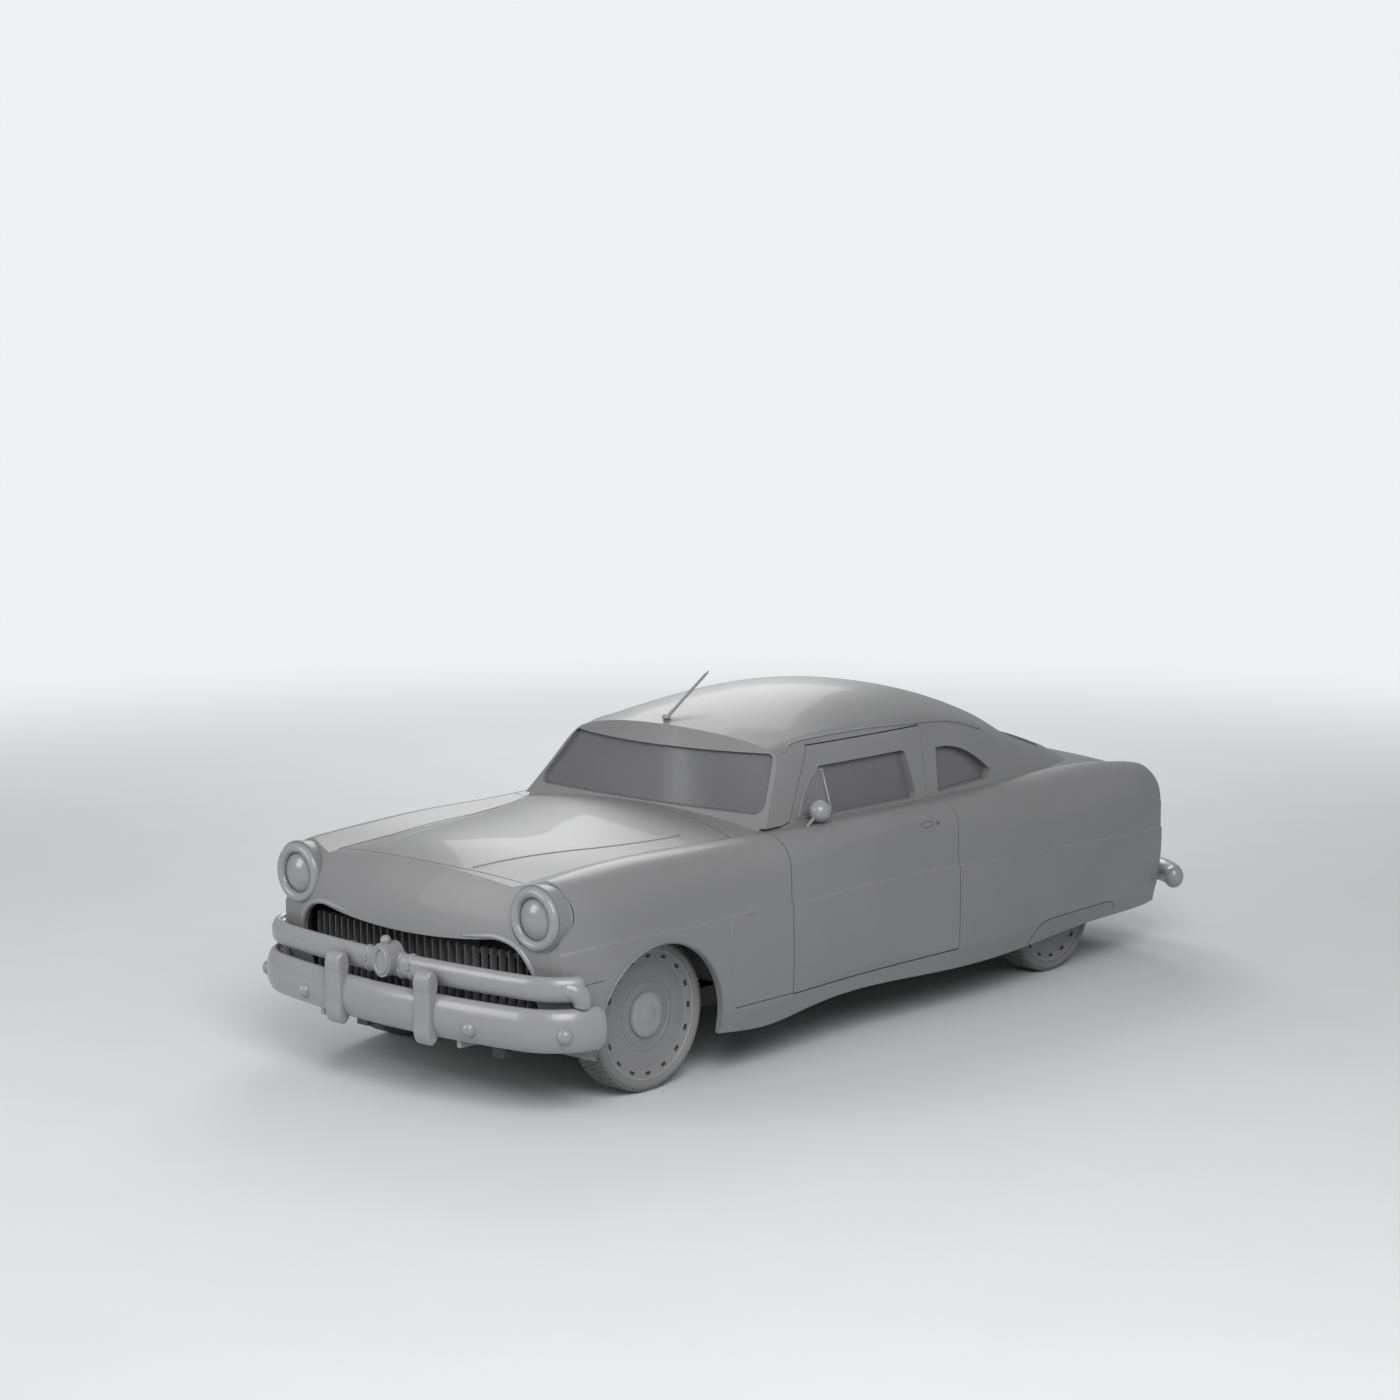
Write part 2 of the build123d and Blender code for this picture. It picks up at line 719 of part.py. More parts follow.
hood_form = hood_region(0)
hood_cut = hood_region(PANEL_GAP)
lid_form = lid_region(0)
lid_cut = lid_region(PANEL_GAP)
front_end_y = DOOR_FRONT_Y + 230
front_box = boxed((-FAR, -FAR, 0), (FAR, front_end_y, FAR))
rear_box = boxed((-FAR, DOOR_FRONT_Y - PANEL_GAP / 2, 0), (FAR, FAR, FAR))
right_half = boxed((-FAR, -FAR, 0), (0, FAR, FAR))
front_top_box = boxed((-FAR, -FAR, 880), (FAR, front_end_y, FAR))

firewall_front_y = FIREWALL_Y - FIREWALL_THICKNESS / 2 - SEAT_GAP
lid_bracket_y = LID_BRACKET_Y + SEAT_GAP
with BuildPart() as hood:
    add(lower_shell.part)
    add(hood_form, mode=Mode.INTERSECT)
    add(strap_boxes(HOOD_STRAP, firewall_front_y))
save(hood.part, "hood")

with BuildPart() as front_shell:
    add(body_outer)
    add(front_box, mode=Mode.INTERSECT)
    add(body_inner, mode=Mode.SUBTRACT)
    add(cabin_space.part, mode=Mode.SUBTRACT)
    add(hood_cut, mode=Mode.SUBTRACT)
    add(front_mouth, mode=Mode.SUBTRACT)
    add(arches.part, mode=Mode.SUBTRACT)
    for cut in door_cuts:
        add(cut, mode=Mode.SUBTRACT)

NOSE_HALF = 600
COWL_HALF = 742
nose_box = boxed((-NOSE_HALF, -FAR, 560), (NOSE_HALF, -2150, FAR))
cowl_box = boxed((-COWL_HALF, -1100, 850), (COWL_HALF, front_end_y, 1200))
door_post_box = boxed((-FAR, DOOR_FRONT_Y - PANEL_GAP / 2, 0), (FAR, FAR, FAR))

with BuildPart() as nose_panel:
    add(front_shell.part)
    add(nose_box, mode=Mode.INTERSECT)
save(nose_panel.part, "nose_panel")

with BuildPart() as firewall:
    for half, low, high in FIREWALL_STEPS:
        with Locations((0, FIREWALL_Y, (low + high) / 2)):
            Box(2 * half, FIREWALL_THICKNESS, high - low)
    add(body_outer, mode=Mode.INTERSECT)

with BuildPart() as cowl:
    add(front_shell.part)
    add(cowl_box, mode=Mode.INTERSECT)
    add(firewall.part)
save(cowl.part, "cowl")

with BuildPart() as pod:
    with BuildSketch(Plane.XZ.offset(-LAMP_Y)):
        with Locations((LAMP_X, LAMP_Z)):
            Circle(POD_RADIUS)
    extrude(amount=-POD_LENGTH, taper=6)

with BuildPart() as lamp_pocket:
    with BuildSketch(Plane.XZ.offset(-LAMP_Y - POCKET_DEPTH)):
        with Locations((LAMP_X, LAMP_Z)):
            Circle(BEZEL_RADIUS + SEAT_GAP)
    extrude(amount=POCKET_DEPTH + 200)

with BuildPart() as fender_left:
    add(front_shell.part)
    add(right_half, mode=Mode.SUBTRACT)
    add(nose_box, mode=Mode.SUBTRACT)
    add(cowl_box, mode=Mode.SUBTRACT)
    add(door_post_box, mode=Mode.SUBTRACT)
    add(pod.part)
    add(lamp_pocket.part, mode=Mode.SUBTRACT)
    add(irons(IRON_ROOM, -IRON_REACH[0], -IRON_SEAT_Y), mode=Mode.SUBTRACT)
save(fender_left.part, "fender_left")
save(mirrored(fender_left.part), "fender_right")

with BuildPart() as trunk_lid:
    add(lower_shell.part)
    add(cabin_outer, mode=Mode.SUBTRACT)
    add(lid_form, mode=Mode.INTERSECT)
    add(strap_boxes(LID_STRAP, lid_bracket_y))
save(trunk_lid.part, "trunk_lid")

with BuildPart() as rear_body:
    add(body_outer)
    add(rear_box, mode=Mode.INTERSECT)
    add(body_inner, mode=Mode.SUBTRACT)
    add(cabin_space.part, mode=Mode.SUBTRACT)
    add(front_top_box, mode=Mode.SUBTRACT)
    for cut in door_cuts:
        add(cut, mode=Mode.SUBTRACT)
    add(lid_cut, mode=Mode.SUBTRACT)
    add(skirt_cut, mode=Mode.SUBTRACT)
    add(irons(IRON_ROOM, IRON_SEAT_Y, IRON_REACH[1]), mode=Mode.SUBTRACT)
    for x in (-STRAP_X, STRAP_X):
        add(boxed((x - 15, LID_BRACKET_Y - 15, LID_STRAP[2] - 15), (x + 15, LID_BRACKET_Y, LID_STRAP[4] + 10)))
save(rear_body.part, "rear_body")

with BuildPart() as fender_skirts:
    add(lower_shell.part)
    add(skirt_form, mode=Mode.INTERSECT)
save(fender_skirts.part, "fender_skirts")

# Glass: a thin layer inside the outer skin, cut to each opening
glass_back = GLASS_INSET + GLASS_THICKNESS
pane_outer = greenhouse_form(GLASS_INSET, GLASS_INSET, GREENHOUSE_FLOOR - OPEN_BELOW)
pane_inner = greenhouse_form(glass_back, glass_back, GREENHOUSE_FLOOR - OPEN_BELOW)
behind_glass_front = behind_windshield(GLASS_INSET)
behind_glass_back = behind_windshield(glass_back)
windshield_form = windshield_opening(-SEAT_GAP)


def pane(form):
    """The glass layer inside one window opening."""
    with BuildPart() as piece:
        add(pane_outer)
        add(form, mode=Mode.INTERSECT)
        add(pane_inner, mode=Mode.SUBTRACT)
    return piece.part


door_pane = pane(door_pane_form)
save(door_pane, "door_glass_left")
save(mirrored(door_pane), "door_glass_right")
quarter_pane = pane(quarter_window(-SEAT_GAP))
rear_pane = pane(rear_window_opening(-SEAT_GAP))

with BuildPart() as windshield_pane:
    add(cabin_outer)
    add(windshield_form, mode=Mode.INTERSECT)
    add(behind_glass_front, mode=Mode.INTERSECT)
    add(behind_glass_back, mode=Mode.SUBTRACT)

with BuildPart() as fixed_glass:
    add(windshield_pane.part)
    add(rear_pane)
    add(quarter_pane)
    mirror(quarter_pane, about=Plane.YZ)
save(fixed_glass.part, "fixed_glass")


# Bumpers and grille
front_irons = irons(0, -IRON_REACH[0], -IRON_SEAT_Y)
rear_irons = irons(0, IRON_SEAT_Y, IRON_REACH[1])


def bar(front_y, bend, end, z, half_height, half_depth):
    """A bar of oval section: a wide arc in plan, a tight arc round each corner and a round end."""
    rise = bend[1] - front_y
    radius = (bend[0] ** 2 + rise**2) / (2 * rise)
    upright = Vector(0, 0, copysign(1, rise))
    centre = Vector(0, front_y + radius, z)
    start = Vector(bend[0], bend[1], z)
    finish = Vector(end[0], end[1], z)
    inward = (centre - start).normalized()
    step = finish - start
    corner = start + inward * (step.dot(step) / (2 * step.dot(inward)))
    outward = (finish - corner).normalized()
    forward = upright.cross(outward)
    front_angle = degrees(asin(bend[0] / abs(radius)))
    corner_angle = (start - corner).get_angle(finish - corner)
    with BuildPart() as half_bar:
        with BuildSketch(Plane(origin=(0, front_y, z), x_dir=(0, 1, 0), z_dir=(1, 0, 0))):
            Ellipse(half_depth, half_height)
        revolve(axis=Axis(centre, upright), revolution_arc=front_angle)
        with BuildSketch(Plane(origin=start, x_dir=inward, z_dir=inward.cross(upright))):
            Ellipse(half_depth, half_height)
        revolve(axis=Axis(corner, upright), revolution_arc=corner_angle)
        for reach, part in BAR_TIP:
            tip = Plane(origin=finish + forward * (reach * half_depth), x_dir=outward, z_dir=forward)
            with BuildSketch(tip):
                Ellipse(part * half_depth, part * half_height)
        loft(ruled=True)
    with BuildPart() as whole_bar:
        add(half_bar.part)
        mirror(half_bar.part, about=Plane.YZ)
    return whole_bar.part


front_bar = bar(
    BUMPER_FRONT_Y + BUMPER_HALF_DEPTH,
    BUMPER_BEND,
    BUMPER_END,
    BUMPER_Z,
    BUMPER_HALF_HEIGHT,
    BUMPER_HALF_DEPTH,
)
with BuildPart() as guard:
    # Side outline of one guard: a waisted post, thick at both ends
    with BuildSketch(side_plane(GUARD_X)) as guard_side:
        for z in (GUARD_LOW_Z + GUARD_LOBE, GUARD_HIGH_Z - GUARD_LOBE):
            with Locations((GUARD_Y, z)):
                Ellipse(GUARD_DEPTH / 2, GUARD_LOBE)
        with Locations((GUARD_Y, (GUARD_LOW_Z + GUARD_HIGH_Z) / 2)):
            Rectangle(GUARD_DEPTH * 0.86, GUARD_HIGH_Z - GUARD_LOW_Z - 2 * GUARD_LOBE)
    extrude(amount=GUARD_WIDTH / 2, both=True)
    fillet(guard.faces().filter_by(Axis.X).edges(), GUARD_ROUND)

with BuildPart() as front_bumper:
    add(front_bar)
    add(guard.part)
    mirror(guard.part, about=Plane.YZ)
    add(front_irons)
save(front_bumper.part, "front_bumper")

rear_bar = bar(
    REAR_BUMPER_Y, REAR_BUMPER_BEND, REAR_BUMPER_END, REAR_BUMPER_Z, REAR_BUMPER_HALF_HEIGHT, REAR_BUMPER_HALF_DEPTH
)
with BuildPart() as rear_bumper:
    add(rear_bar)
    add(rear_irons)
save(rear_bumper.part, "rear_bumper")

grille_form = bar(
    GRILLE_BAR_FRONT_Y + GRILLE_BAR_HALF_DEPTH,
    GRILLE_BAR_BEND,
    GRILLE_BAR_END,
    GRILLE_BAR_Z,
    GRILLE_BAR_HALF_HEIGHT,
    GRILLE_BAR_HALF_DEPTH,
)
with BuildPart() as grille_bar:
    add(grille_form)
    with BuildSketch(Plane.XZ.offset(-GRILLE_BAR_FRONT_Y - 60)):
        with Locations((0, BOSS_Z)):
            Ellipse(BOSS_WIDTH / 2, BOSS_HEIGHT / 2)
    extrude(amount=90)
    with Locations((0, GRILLE_BAR_FRONT_Y, BOSS_Z + BOSS_HEIGHT / 2 + 8)):
        Sphere(24)
    for x in (-BAR_STAY_X, 0, BAR_STAY_X):
        rear_y = GRILLE_Y - FIN_DEPTH / 2 - SEAT_GAP + x**2 / (2 * NOSE_RADIUS)
        add(boxed((x - 15, GRILLE_BAR_FRONT_Y + GRILLE_BAR_HALF_DEPTH, 560), (x + 15, rear_y, 600)))
save(grille_bar.part, "grille_bar")

stay_end_y = RADIATOR_Y - RADIATOR_BOX[1] / 2 - SEAT_GAP
nose_axis = Axis((0, GRILLE_Y + NOSE_RADIUS, 0), (0, 0, 1))
with BuildPart() as grille:
    with BuildSketch(Plane.XY.offset(MOUTH_LOW_Z + SEAT_GAP)):
        for number in range(FIN_COUNT):
            x = (number - (FIN_COUNT - 1) / 2) * FIN_PITCH
            with Locations((x, GRILLE_Y + x**2 / (2 * NOSE_RADIUS))):
                Rectangle(FIN_THICKNESS, FIN_DEPTH)
    extrude(amount=FIN_HEIGHT)
    with BuildSketch(side_plane(0)):
        for z in GRILLE_RAIL_ZS:
            with Locations((GRILLE_Y + FIN_DEPTH / 2, z)):
                Rectangle(*GRILLE_RAIL_SIZE)
    revolve(axis=nose_axis, revolution_arc=degrees(FIN_COUNT * FIN_PITCH / 2 / NOSE_RADIUS))
    mirror(about=Plane.YZ)
    for x in (-GRILLE_STAY_X, GRILLE_STAY_X):
        add(boxed((x - 10, GRILLE_Y, GRILLE_RAIL_ZS[0] - 10), (x + 10, stay_end_y, GRILLE_RAIL_ZS[0] + 10)))
save(grille.part, "grille")

# Lamps
lamp_plane = Plane(origin=(LAMP_X, LAMP_Y, LAMP_Z), x_dir=(1, 0, 0), z_dir=(0, 0, 1))
lamp_axis = Axis((LAMP_X, LAMP_Y, LAMP_Z), (0, 1, 0))
bezel_tube = (BEZEL_RADIUS - LENS_RADIUS) / 2
with BuildPart() as bezel:
    with BuildSketch(lamp_plane):
        with Locations((LENS_RADIUS + bezel_tube, -4)):
            Circle(bezel_tube)
        with Locations((LENS_RADIUS + bezel_tube, 40)):
            Rectangle(2 * bezel_tube - 6, 90)
    revolve(axis=lamp_axis)
with BuildPart() as headlamp_bezels:
    add(bezel.part)
    mirror(bezel.part, about=Plane.YZ)
save(headlamp_bezels.part, "headlamp_bezels")

with BuildPart() as lens:
    with BuildSketch(lamp_plane):
        with BuildLine():
            edge = LENS_RADIUS - SEAT_GAP
            Line((0, 30), (0, -LENS_DOME))
            ThreePointArc((0, -LENS_DOME), (edge * 0.6, -LENS_DOME * 0.72), (edge, 0))
            Line((edge, 0), (edge, 30))
            Line((edge, 30), (0, 30))
        make_face()
    revolve(axis=lamp_axis)
with BuildPart() as headlamp_lenses:
    add(lens.part)
    mirror(lens.part, about=Plane.YZ)
save(headlamp_lenses.part, "headlamp_lenses")

tail_seat = Pos(0, SEAT_GAP, 0) * body_outer
with BuildPart() as tail_lamp:
    with BuildSketch(Plane.XZ.offset(-TAIL_LAMP_Y)):
        with Locations((TAIL_LAMP_X, TAIL_LAMP_Z)):
            Ellipse(*TAIL_LAMP_SIZE)
    extrude(amount=-TAIL_LAMP_DEPTH)
    fillet(tail_lamp.faces().sort_by(Axis.Y)[-1].edges(), 12)
    add(tail_seat, mode=Mode.SUBTRACT)
with BuildPart() as tail_lamps:
    add(tail_lamp.part)
    mirror(tail_lamp.part, about=Plane.YZ)
save(tail_lamps.part, "tail_lamps")

# Mirror and antenna
roof_raised = Pos(0, 0, SEAT_GAP) * cabin_outer
with BuildPart() as door_mirror:
    with Locations((MIRROR_BALL[0], MIRROR_BALL[1], MIRROR_BALL[2])):
        Sphere(MIRROR_RADIUS)
    with BuildLine():
        Line(MIRROR_FOOT, MIRROR_BALL)
    with BuildSketch(Plane(origin=MIRROR_FOOT, z_dir=Vector(*MIRROR_BALL) - Vector(*MIRROR_FOOT))):
        Circle(7)
    sweep()
    add(body_raised, mode=Mode.SUBTRACT)
save(door_mirror.part, "door_mirror")

with BuildPart() as antenna:
    with BuildLine():
        Line(ANTENNA_FOOT, ANTENNA_TIP)
    with BuildSketch(Plane(origin=ANTENNA_FOOT, z_dir=Vector(*ANTENNA_TIP) - Vector(*ANTENNA_FOOT))):
        Circle(4)
    sweep()
    with Locations(ANTENNA_FOOT):
        Sphere(14)
    with Locations(ANTENNA_TIP):
        Sphere(7)
    add(roof_raised, mode=Mode.SUBTRACT)
save(antenna.part, "antenna")

# Floor and frame
with BuildPart() as floor_pan:
    for x_low, x_high, y_low, y_high, z_low, z_high in FLOOR_PLATES:
        for side in (1, -1):
            with Locations((side * (x_low + x_high) / 2, (y_low + y_high) / 2, (z_low + z_high) / 2)):
                Box(x_high - x_low, y_high - y_low, z_high - z_low)
save(floor_pan.part, "floor_pan")

with BuildPart() as frame_rails:
    for x in (-RAIL_X, RAIL_X):
        with Locations((x, (RAIL_FRONT_Y + RAIL_REAR_Y) / 2, RAIL_Z)):
            Box(RAIL_SIZE[0], RAIL_REAR_Y - RAIL_FRONT_Y, RAIL_SIZE[1])
    for y in CROSSMEMBER_YS:
        with Locations((0, y, RAIL_Z + RAIL_SIZE[1] / 2 - CROSSMEMBER_HEIGHT / 2)):
            Box(2 * RAIL_X, 80, CROSSMEMBER_HEIGHT)
    with Locations((0, TOW_EYE_Y, RAIL_Z)):
        Cylinder(TOW_EYE_RADIUS, 2 * RAIL_X + 2 * RAIL_SIZE[0], rotation=(0, 90, 0), mode=Mode.SUBTRACT)
save(frame_rails.part, "frame_rails")

with BuildPart() as engine:
    with Locations(ENGINE_CENTRE):
        Box(*ENGINE_BOX)
save(engine.part, "engine")

with BuildPart() as radiator:
    with Locations((0, RADIATOR_Y, RADIATOR_Z)):
        Box(*RADIATOR_BOX)
save(radiator.part, "radiator")

with BuildPart() as fuel_tank:
    with Locations((0, TANK_Y, TANK_Z)):
        Box(*TANK_BOX)
    fillet(fuel_tank.edges().filter_by(Axis.X), 30)
save(fuel_tank.part, "fuel_tank")

with BuildPart() as exhaust:
    with BuildLine() as exhaust_path:
        FilletPolyline(*EXHAUST_POINTS, radius=90)
    with BuildSketch(Plane(origin=exhaust_path.line @ 0, z_dir=exhaust_path.line % 0)):
        Circle(24)
    sweep()
    with Locations(MUFFLER_CENTRE):
        Cylinder(60, 480, rotation=(90, 0, 0))
save(exhaust.part, "exhaust")

# Cabin
with BuildPart() as dashboard:
    with BuildSketch(side_plane(-DASH_HALF)):
        with BuildLine():
            Polyline((-871.7, 760), (-871.7, 1000), (-800, 1046), (-700, 1040), (-640, 980), (-700, 780), close=True)
        make_face()
    extrude(amount=2 * DASH_HALF)
    fillet(dashboard.edges().filter_by(Axis.X), 18)
save(dashboard.part, "dashboard")

wheel_plane = Plane(origin=STEERING_CENTRE, z_dir=(0, cos(radians(STEERING_TILT)), sin(radians(STEERING_TILT))))
with BuildPart() as steering_wheel:
    with Locations(wheel_plane):
        Torus(STEERING_RADIUS, 12)
        Cylinder(32, 40)
        for angle in (0, 120, 240):
            with Locations(Location((0, 0, 0), (0, 0, angle + 90))):
                with Locations((STEERING_RADIUS / 2, 0, 0)):
                    Box(STEERING_RADIUS, 22, 8)
        with Locations((0, 0, -COLUMN_LENGTH / 2)):
            Cylinder(24, COLUMN_LENGTH)
save(steering_wheel.part, "steering_wheel")


def bench(front_y, seat_z, back_top, width, depth, lean):
    """A bench seat: a cushion and a leaning back, as one closed form."""
    with BuildPart() as seat:
        with BuildSketch(side_plane(-width / 2)):
            with BuildLine():
                Polyline(
                    (front_y, BENCH_LOW_Z),
                    (front_y, seat_z),
                    (front_y + depth, seat_z - 30),
                    (front_y + depth + lean, back_top),
                    (front_y + depth + lean + 130, back_top),
                    (front_y + depth + 120, BENCH_LOW_Z),
                    close=True,
                )
            make_face()
        extrude(amount=width)
        fillet(seat.edges().filter_by(Axis.X), 34)
    return seat.part


save(bench(*FRONT_BENCH), "front_bench")
save(bench(*REAR_BENCH), "rear_bench")

# Running gear
with BuildPart() as front_suspension:
    with Locations((0, FRONT_AXLE_Y, BEAM_Z)):
        Box(2 * BEAM_HALF, 90, BEAM_HEIGHT)
    for sign in (1, -1):
        with Locations((sign * (BEAM_HALF - 20), FRONT_AXLE_Y, (ARM_LOW_Z + ARM_HIGH_Z) / 2)):
            Box(40, 90, ARM_HIGH_Z - ARM_LOW_Z)
        for z in (ARM_LOW_Z, ARM_HIGH_Z):
            with Locations((sign * (BEAM_HALF + KINGPIN_X - 30) / 2, FRONT_AXLE_Y, z)):
                Box(KINGPIN_X - BEAM_HALF + 20, 60, 24)
            with Locations((sign * KINGPIN_X, FRONT_AXLE_Y, z)):
                Cylinder(34, 24)
        with Locations((sign * KINGPIN_X, FRONT_AXLE_Y, (ARM_LOW_Z + ARM_HIGH_Z) / 2)):
            Cylinder(KINGPIN_RADIUS, ARM_HIGH_Z - ARM_LOW_Z + 20)
save(front_suspension.part, "front_suspension")


def knuckle(sign):
    """The steered knuckle: a sleeve on the kingpin, a stub axle and a steering arm."""
    with BuildPart() as piece:
        with Locations((sign * KINGPIN_X, FRONT_AXLE_Y, TYRE_RADIUS)):
            Cylinder(30, 120)
        with Locations((sign * (KINGPIN_X + SPINDLE_LENGTH / 2), FRONT_AXLE_Y, TYRE_RADIUS)):
            Cylinder(SPINDLE_RADIUS, SPINDLE_LENGTH, rotation=(0, 90, 0))
        with Locations((sign * (KINGPIN_X - 10), FRONT_AXLE_Y + 70, TYRE_RADIUS - 40)):
            Box(26, 120, 20)
        with Locations((sign * KINGPIN_X, FRONT_AXLE_Y, TYRE_RADIUS)):
            Cylinder(KINGPIN_RADIUS + RUNNING_GAP, 200, mode=Mode.SUBTRACT)
    return piece.part


save(knuckle(1), "knuckle_left")
save(knuckle(-1), "knuckle_right")

with BuildPart() as rear_axle:
    with BuildSketch(Plane(origin=(0, REAR_AXLE_Y, TYRE_RADIUS), x_dir=(1, 0, 0), z_dir=(0, -1, 0))):
        with BuildLine():
            half_axle = [(REAR_HUB_X + SPINDLE_LENGTH, 0), (REAR_HUB_X + SPINDLE_LENGTH, SPINDLE_RADIUS)]
            half_axle += [(REAR_HUB_X, SPINDLE_RADIUS), (REAR_HUB_X, AXLE_TUBE_RADIUS)] + HOUSING_PROFILE
            Polyline(*half_axle, *[(-x, r) for x, r in reversed(half_axle)], close=True)
        make_face()
    revolve(axis=Axis((0, REAR_AXLE_Y, TYRE_RADIUS), (1, 0, 0)))
    for sign in (1, -1):
        with Locations((sign * RAIL_X, REAR_AXLE_Y, SPRING_Z)):
            Box(SPRING_WIDTH, 2 * SPRING_HALF, SPRING_THICKNESS)
        with Locations((sign * RAIL_X, REAR_AXLE_Y, SPRING_Z + SPRING_BLOCK / 2)):
            Box(SPRING_WIDTH + 4, SPRING_SEAT, SPRING_BLOCK)
save(rear_axle.part, "rear_axle")


def tyre(x, y):
    """A tyre with a smooth outer wall, turned about its axle."""
    half = TYRE_WIDTH / 2
    foot = DISC_RADIUS + SEAT_GAP
    bead = half * TYRE_BEAD_SHARE
    shoulder = half * TYRE_SHOULDER_SHARE
    tread = half * TYRE_TREAD_SHARE
    edge = TYRE_RADIUS - TYRE_SHOULDER_DROP
    with BuildPart() as piece:
        with BuildSketch(Plane(origin=(x, y, TYRE_RADIUS), x_dir=(0, 0, 1), z_dir=(0, 1, 0))):
            with BuildLine():
                Line((foot, -bead), (foot, bead))
                ThreePointArc((foot, bead), (foot + TYRE_WALL_SWELL, half), (edge, shoulder))
                Line((edge, shoulder), (TYRE_RADIUS, tread))
                Line((TYRE_RADIUS, tread), (TYRE_RADIUS, -tread))
                Line((TYRE_RADIUS, -tread), (edge, -shoulder))
                ThreePointArc((edge, -shoulder), (foot + TYRE_WALL_SWELL, -half), (foot, -bead))
            make_face()
        revolve(axis=Axis((x, y, TYRE_RADIUS), (1, 0, 0)))
    return piece.part


def wheel(x, y, out):
    """A dished disc wheel with a raised cap, an edge ring of slots and a drum behind."""
    with BuildPart() as piece:
        with BuildSketch(Plane(origin=(x, y, TYRE_RADIUS), x_dir=(0, 0, 1), z_dir=(0, 1, 0))):
            with BuildLine():
                Polyline(*[(r, out * a) for r, a in WHEEL_PROFILE], close=True)
            make_face()
        revolve(axis=Axis((x, y, TYRE_RADIUS), (1, 0, 0)))
    return piece.part


for name, x, y, out in WHEELS:
    save(tyre(x, y), f"tyre_{name}")
    save(wheel(x, y, out), f"wheel_{name}")
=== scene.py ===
# %% [markdown]
# This lesson dresses a imported CAD model of a 1950s two-door coupe. The car was photographed as a grey
# clay study, so nearly everything shares one satin grey, and form has to come from geometry.
# First the imported model is loaded as a fixed frame: every panel already lies where it belongs, and
# we only give it finishes or set finer pieces on it.

import json
import math

import bmesh
import bpy
from mathutils import Matrix, Vector
from mathutils.bvhtree import BVHTree


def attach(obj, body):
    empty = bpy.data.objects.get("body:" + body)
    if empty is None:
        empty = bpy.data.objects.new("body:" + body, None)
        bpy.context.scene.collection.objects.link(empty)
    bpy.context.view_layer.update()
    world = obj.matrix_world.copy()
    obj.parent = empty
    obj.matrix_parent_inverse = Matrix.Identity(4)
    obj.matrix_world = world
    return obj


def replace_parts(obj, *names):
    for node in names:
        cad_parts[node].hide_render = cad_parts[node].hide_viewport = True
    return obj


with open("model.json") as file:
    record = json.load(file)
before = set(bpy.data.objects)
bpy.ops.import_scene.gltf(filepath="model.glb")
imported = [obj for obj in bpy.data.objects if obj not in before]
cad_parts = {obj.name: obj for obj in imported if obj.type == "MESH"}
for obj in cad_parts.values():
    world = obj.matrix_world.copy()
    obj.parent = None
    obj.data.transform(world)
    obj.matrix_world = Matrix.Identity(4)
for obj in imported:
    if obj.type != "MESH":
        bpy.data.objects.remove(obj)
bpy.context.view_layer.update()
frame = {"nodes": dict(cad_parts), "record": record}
nodes = frame["nodes"]
print("nodes:", len(nodes))

# %% [markdown]
# A camera decides what a model is compared with. The photograph was taken with a long lens from the
# front left, a little above the roof. A solved camera is used, so shapes can be laid over the photo.

# %% Camera
CAMERA_PLACE = (9.288, -10.799, 3.429)
CAMERA_TURN = (math.radians(82.205), 0, math.radians(41.94))
LENS = 75

camera_data = bpy.data.cameras.new("camera")
camera_data.lens = LENS
camera_data.sensor_width = 36
camera = bpy.data.objects.new("camera", camera_data)
camera.location = CAMERA_PLACE
camera.rotation_euler = CAMERA_TURN
bpy.context.scene.collection.objects.link(camera)
bpy.context.scene.camera = camera
print("camera at", CAMERA_PLACE)

# %% [markdown]
# Studio light is broad and soft. A pale world fills the shadows, and three large area lamps model the
# form: a key from the front left, a weaker one from behind the roof that lifts its edge, and a soft
# one on the grille. The camera sees an even pale backdrop in place of the world's own light.

# %% Light
PALE = (0.86, 0.87, 0.88, 1)
scene = bpy.context.scene
scene.view_settings.view_transform = "Standard"

world = bpy.data.worlds.new("studio")
scene.world = world
world.use_nodes = True
sky = world.node_tree
background = sky.nodes["Background"]
background.inputs["Color"].default_value = (0.92, 0.93, 0.95, 1)
background.inputs["Strength"].default_value = 0.42
backdrop = sky.nodes.new("ShaderNodeBackground")
backdrop.inputs["Color"].default_value = PALE
backdrop.inputs["Strength"].default_value = 1.0
rays = sky.nodes.new("ShaderNodeLightPath")
either = sky.nodes.new("ShaderNodeMath")
either.operation = "MAXIMUM"
choice = sky.nodes.new("ShaderNodeMixShader")
sky.links.new(rays.outputs["Is Camera Ray"], either.inputs[0])
sky.links.new(rays.outputs["Is Transmission Ray"], either.inputs[1])
sky.links.new(either.outputs[0], choice.inputs["Fac"])
sky.links.new(background.outputs[0], choice.inputs[1])
sky.links.new(backdrop.outputs[0], choice.inputs[2])
sky.links.new(choice.outputs[0], sky.nodes["World Output"].inputs["Surface"])


def area_lamp(name, place, aim, size, watts):
    """A square lamp at place that shines towards aim."""
    data = bpy.data.lights.new(name, "AREA")
    data.size = size
    data.energy = watts
    lamp = bpy.data.objects.new(name, data)
    lamp.location = place
    lamp.rotation_euler = (Vector(aim) - Vector(place)).to_track_quat("-Z", "Y").to_euler()
    scene.collection.objects.link(lamp)


area_lamp("key", (7.5, -6.5, 7.5), (0, 0, 0.6), 6, 900)
area_lamp("rim", (-6, 6, 6.5), (0, 0, 0.8), 5, 380)
area_lamp("front", (-4, -9, 4), (0, -1, 0.7), 4, 260)
print("lamps:", len(bpy.data.lights))

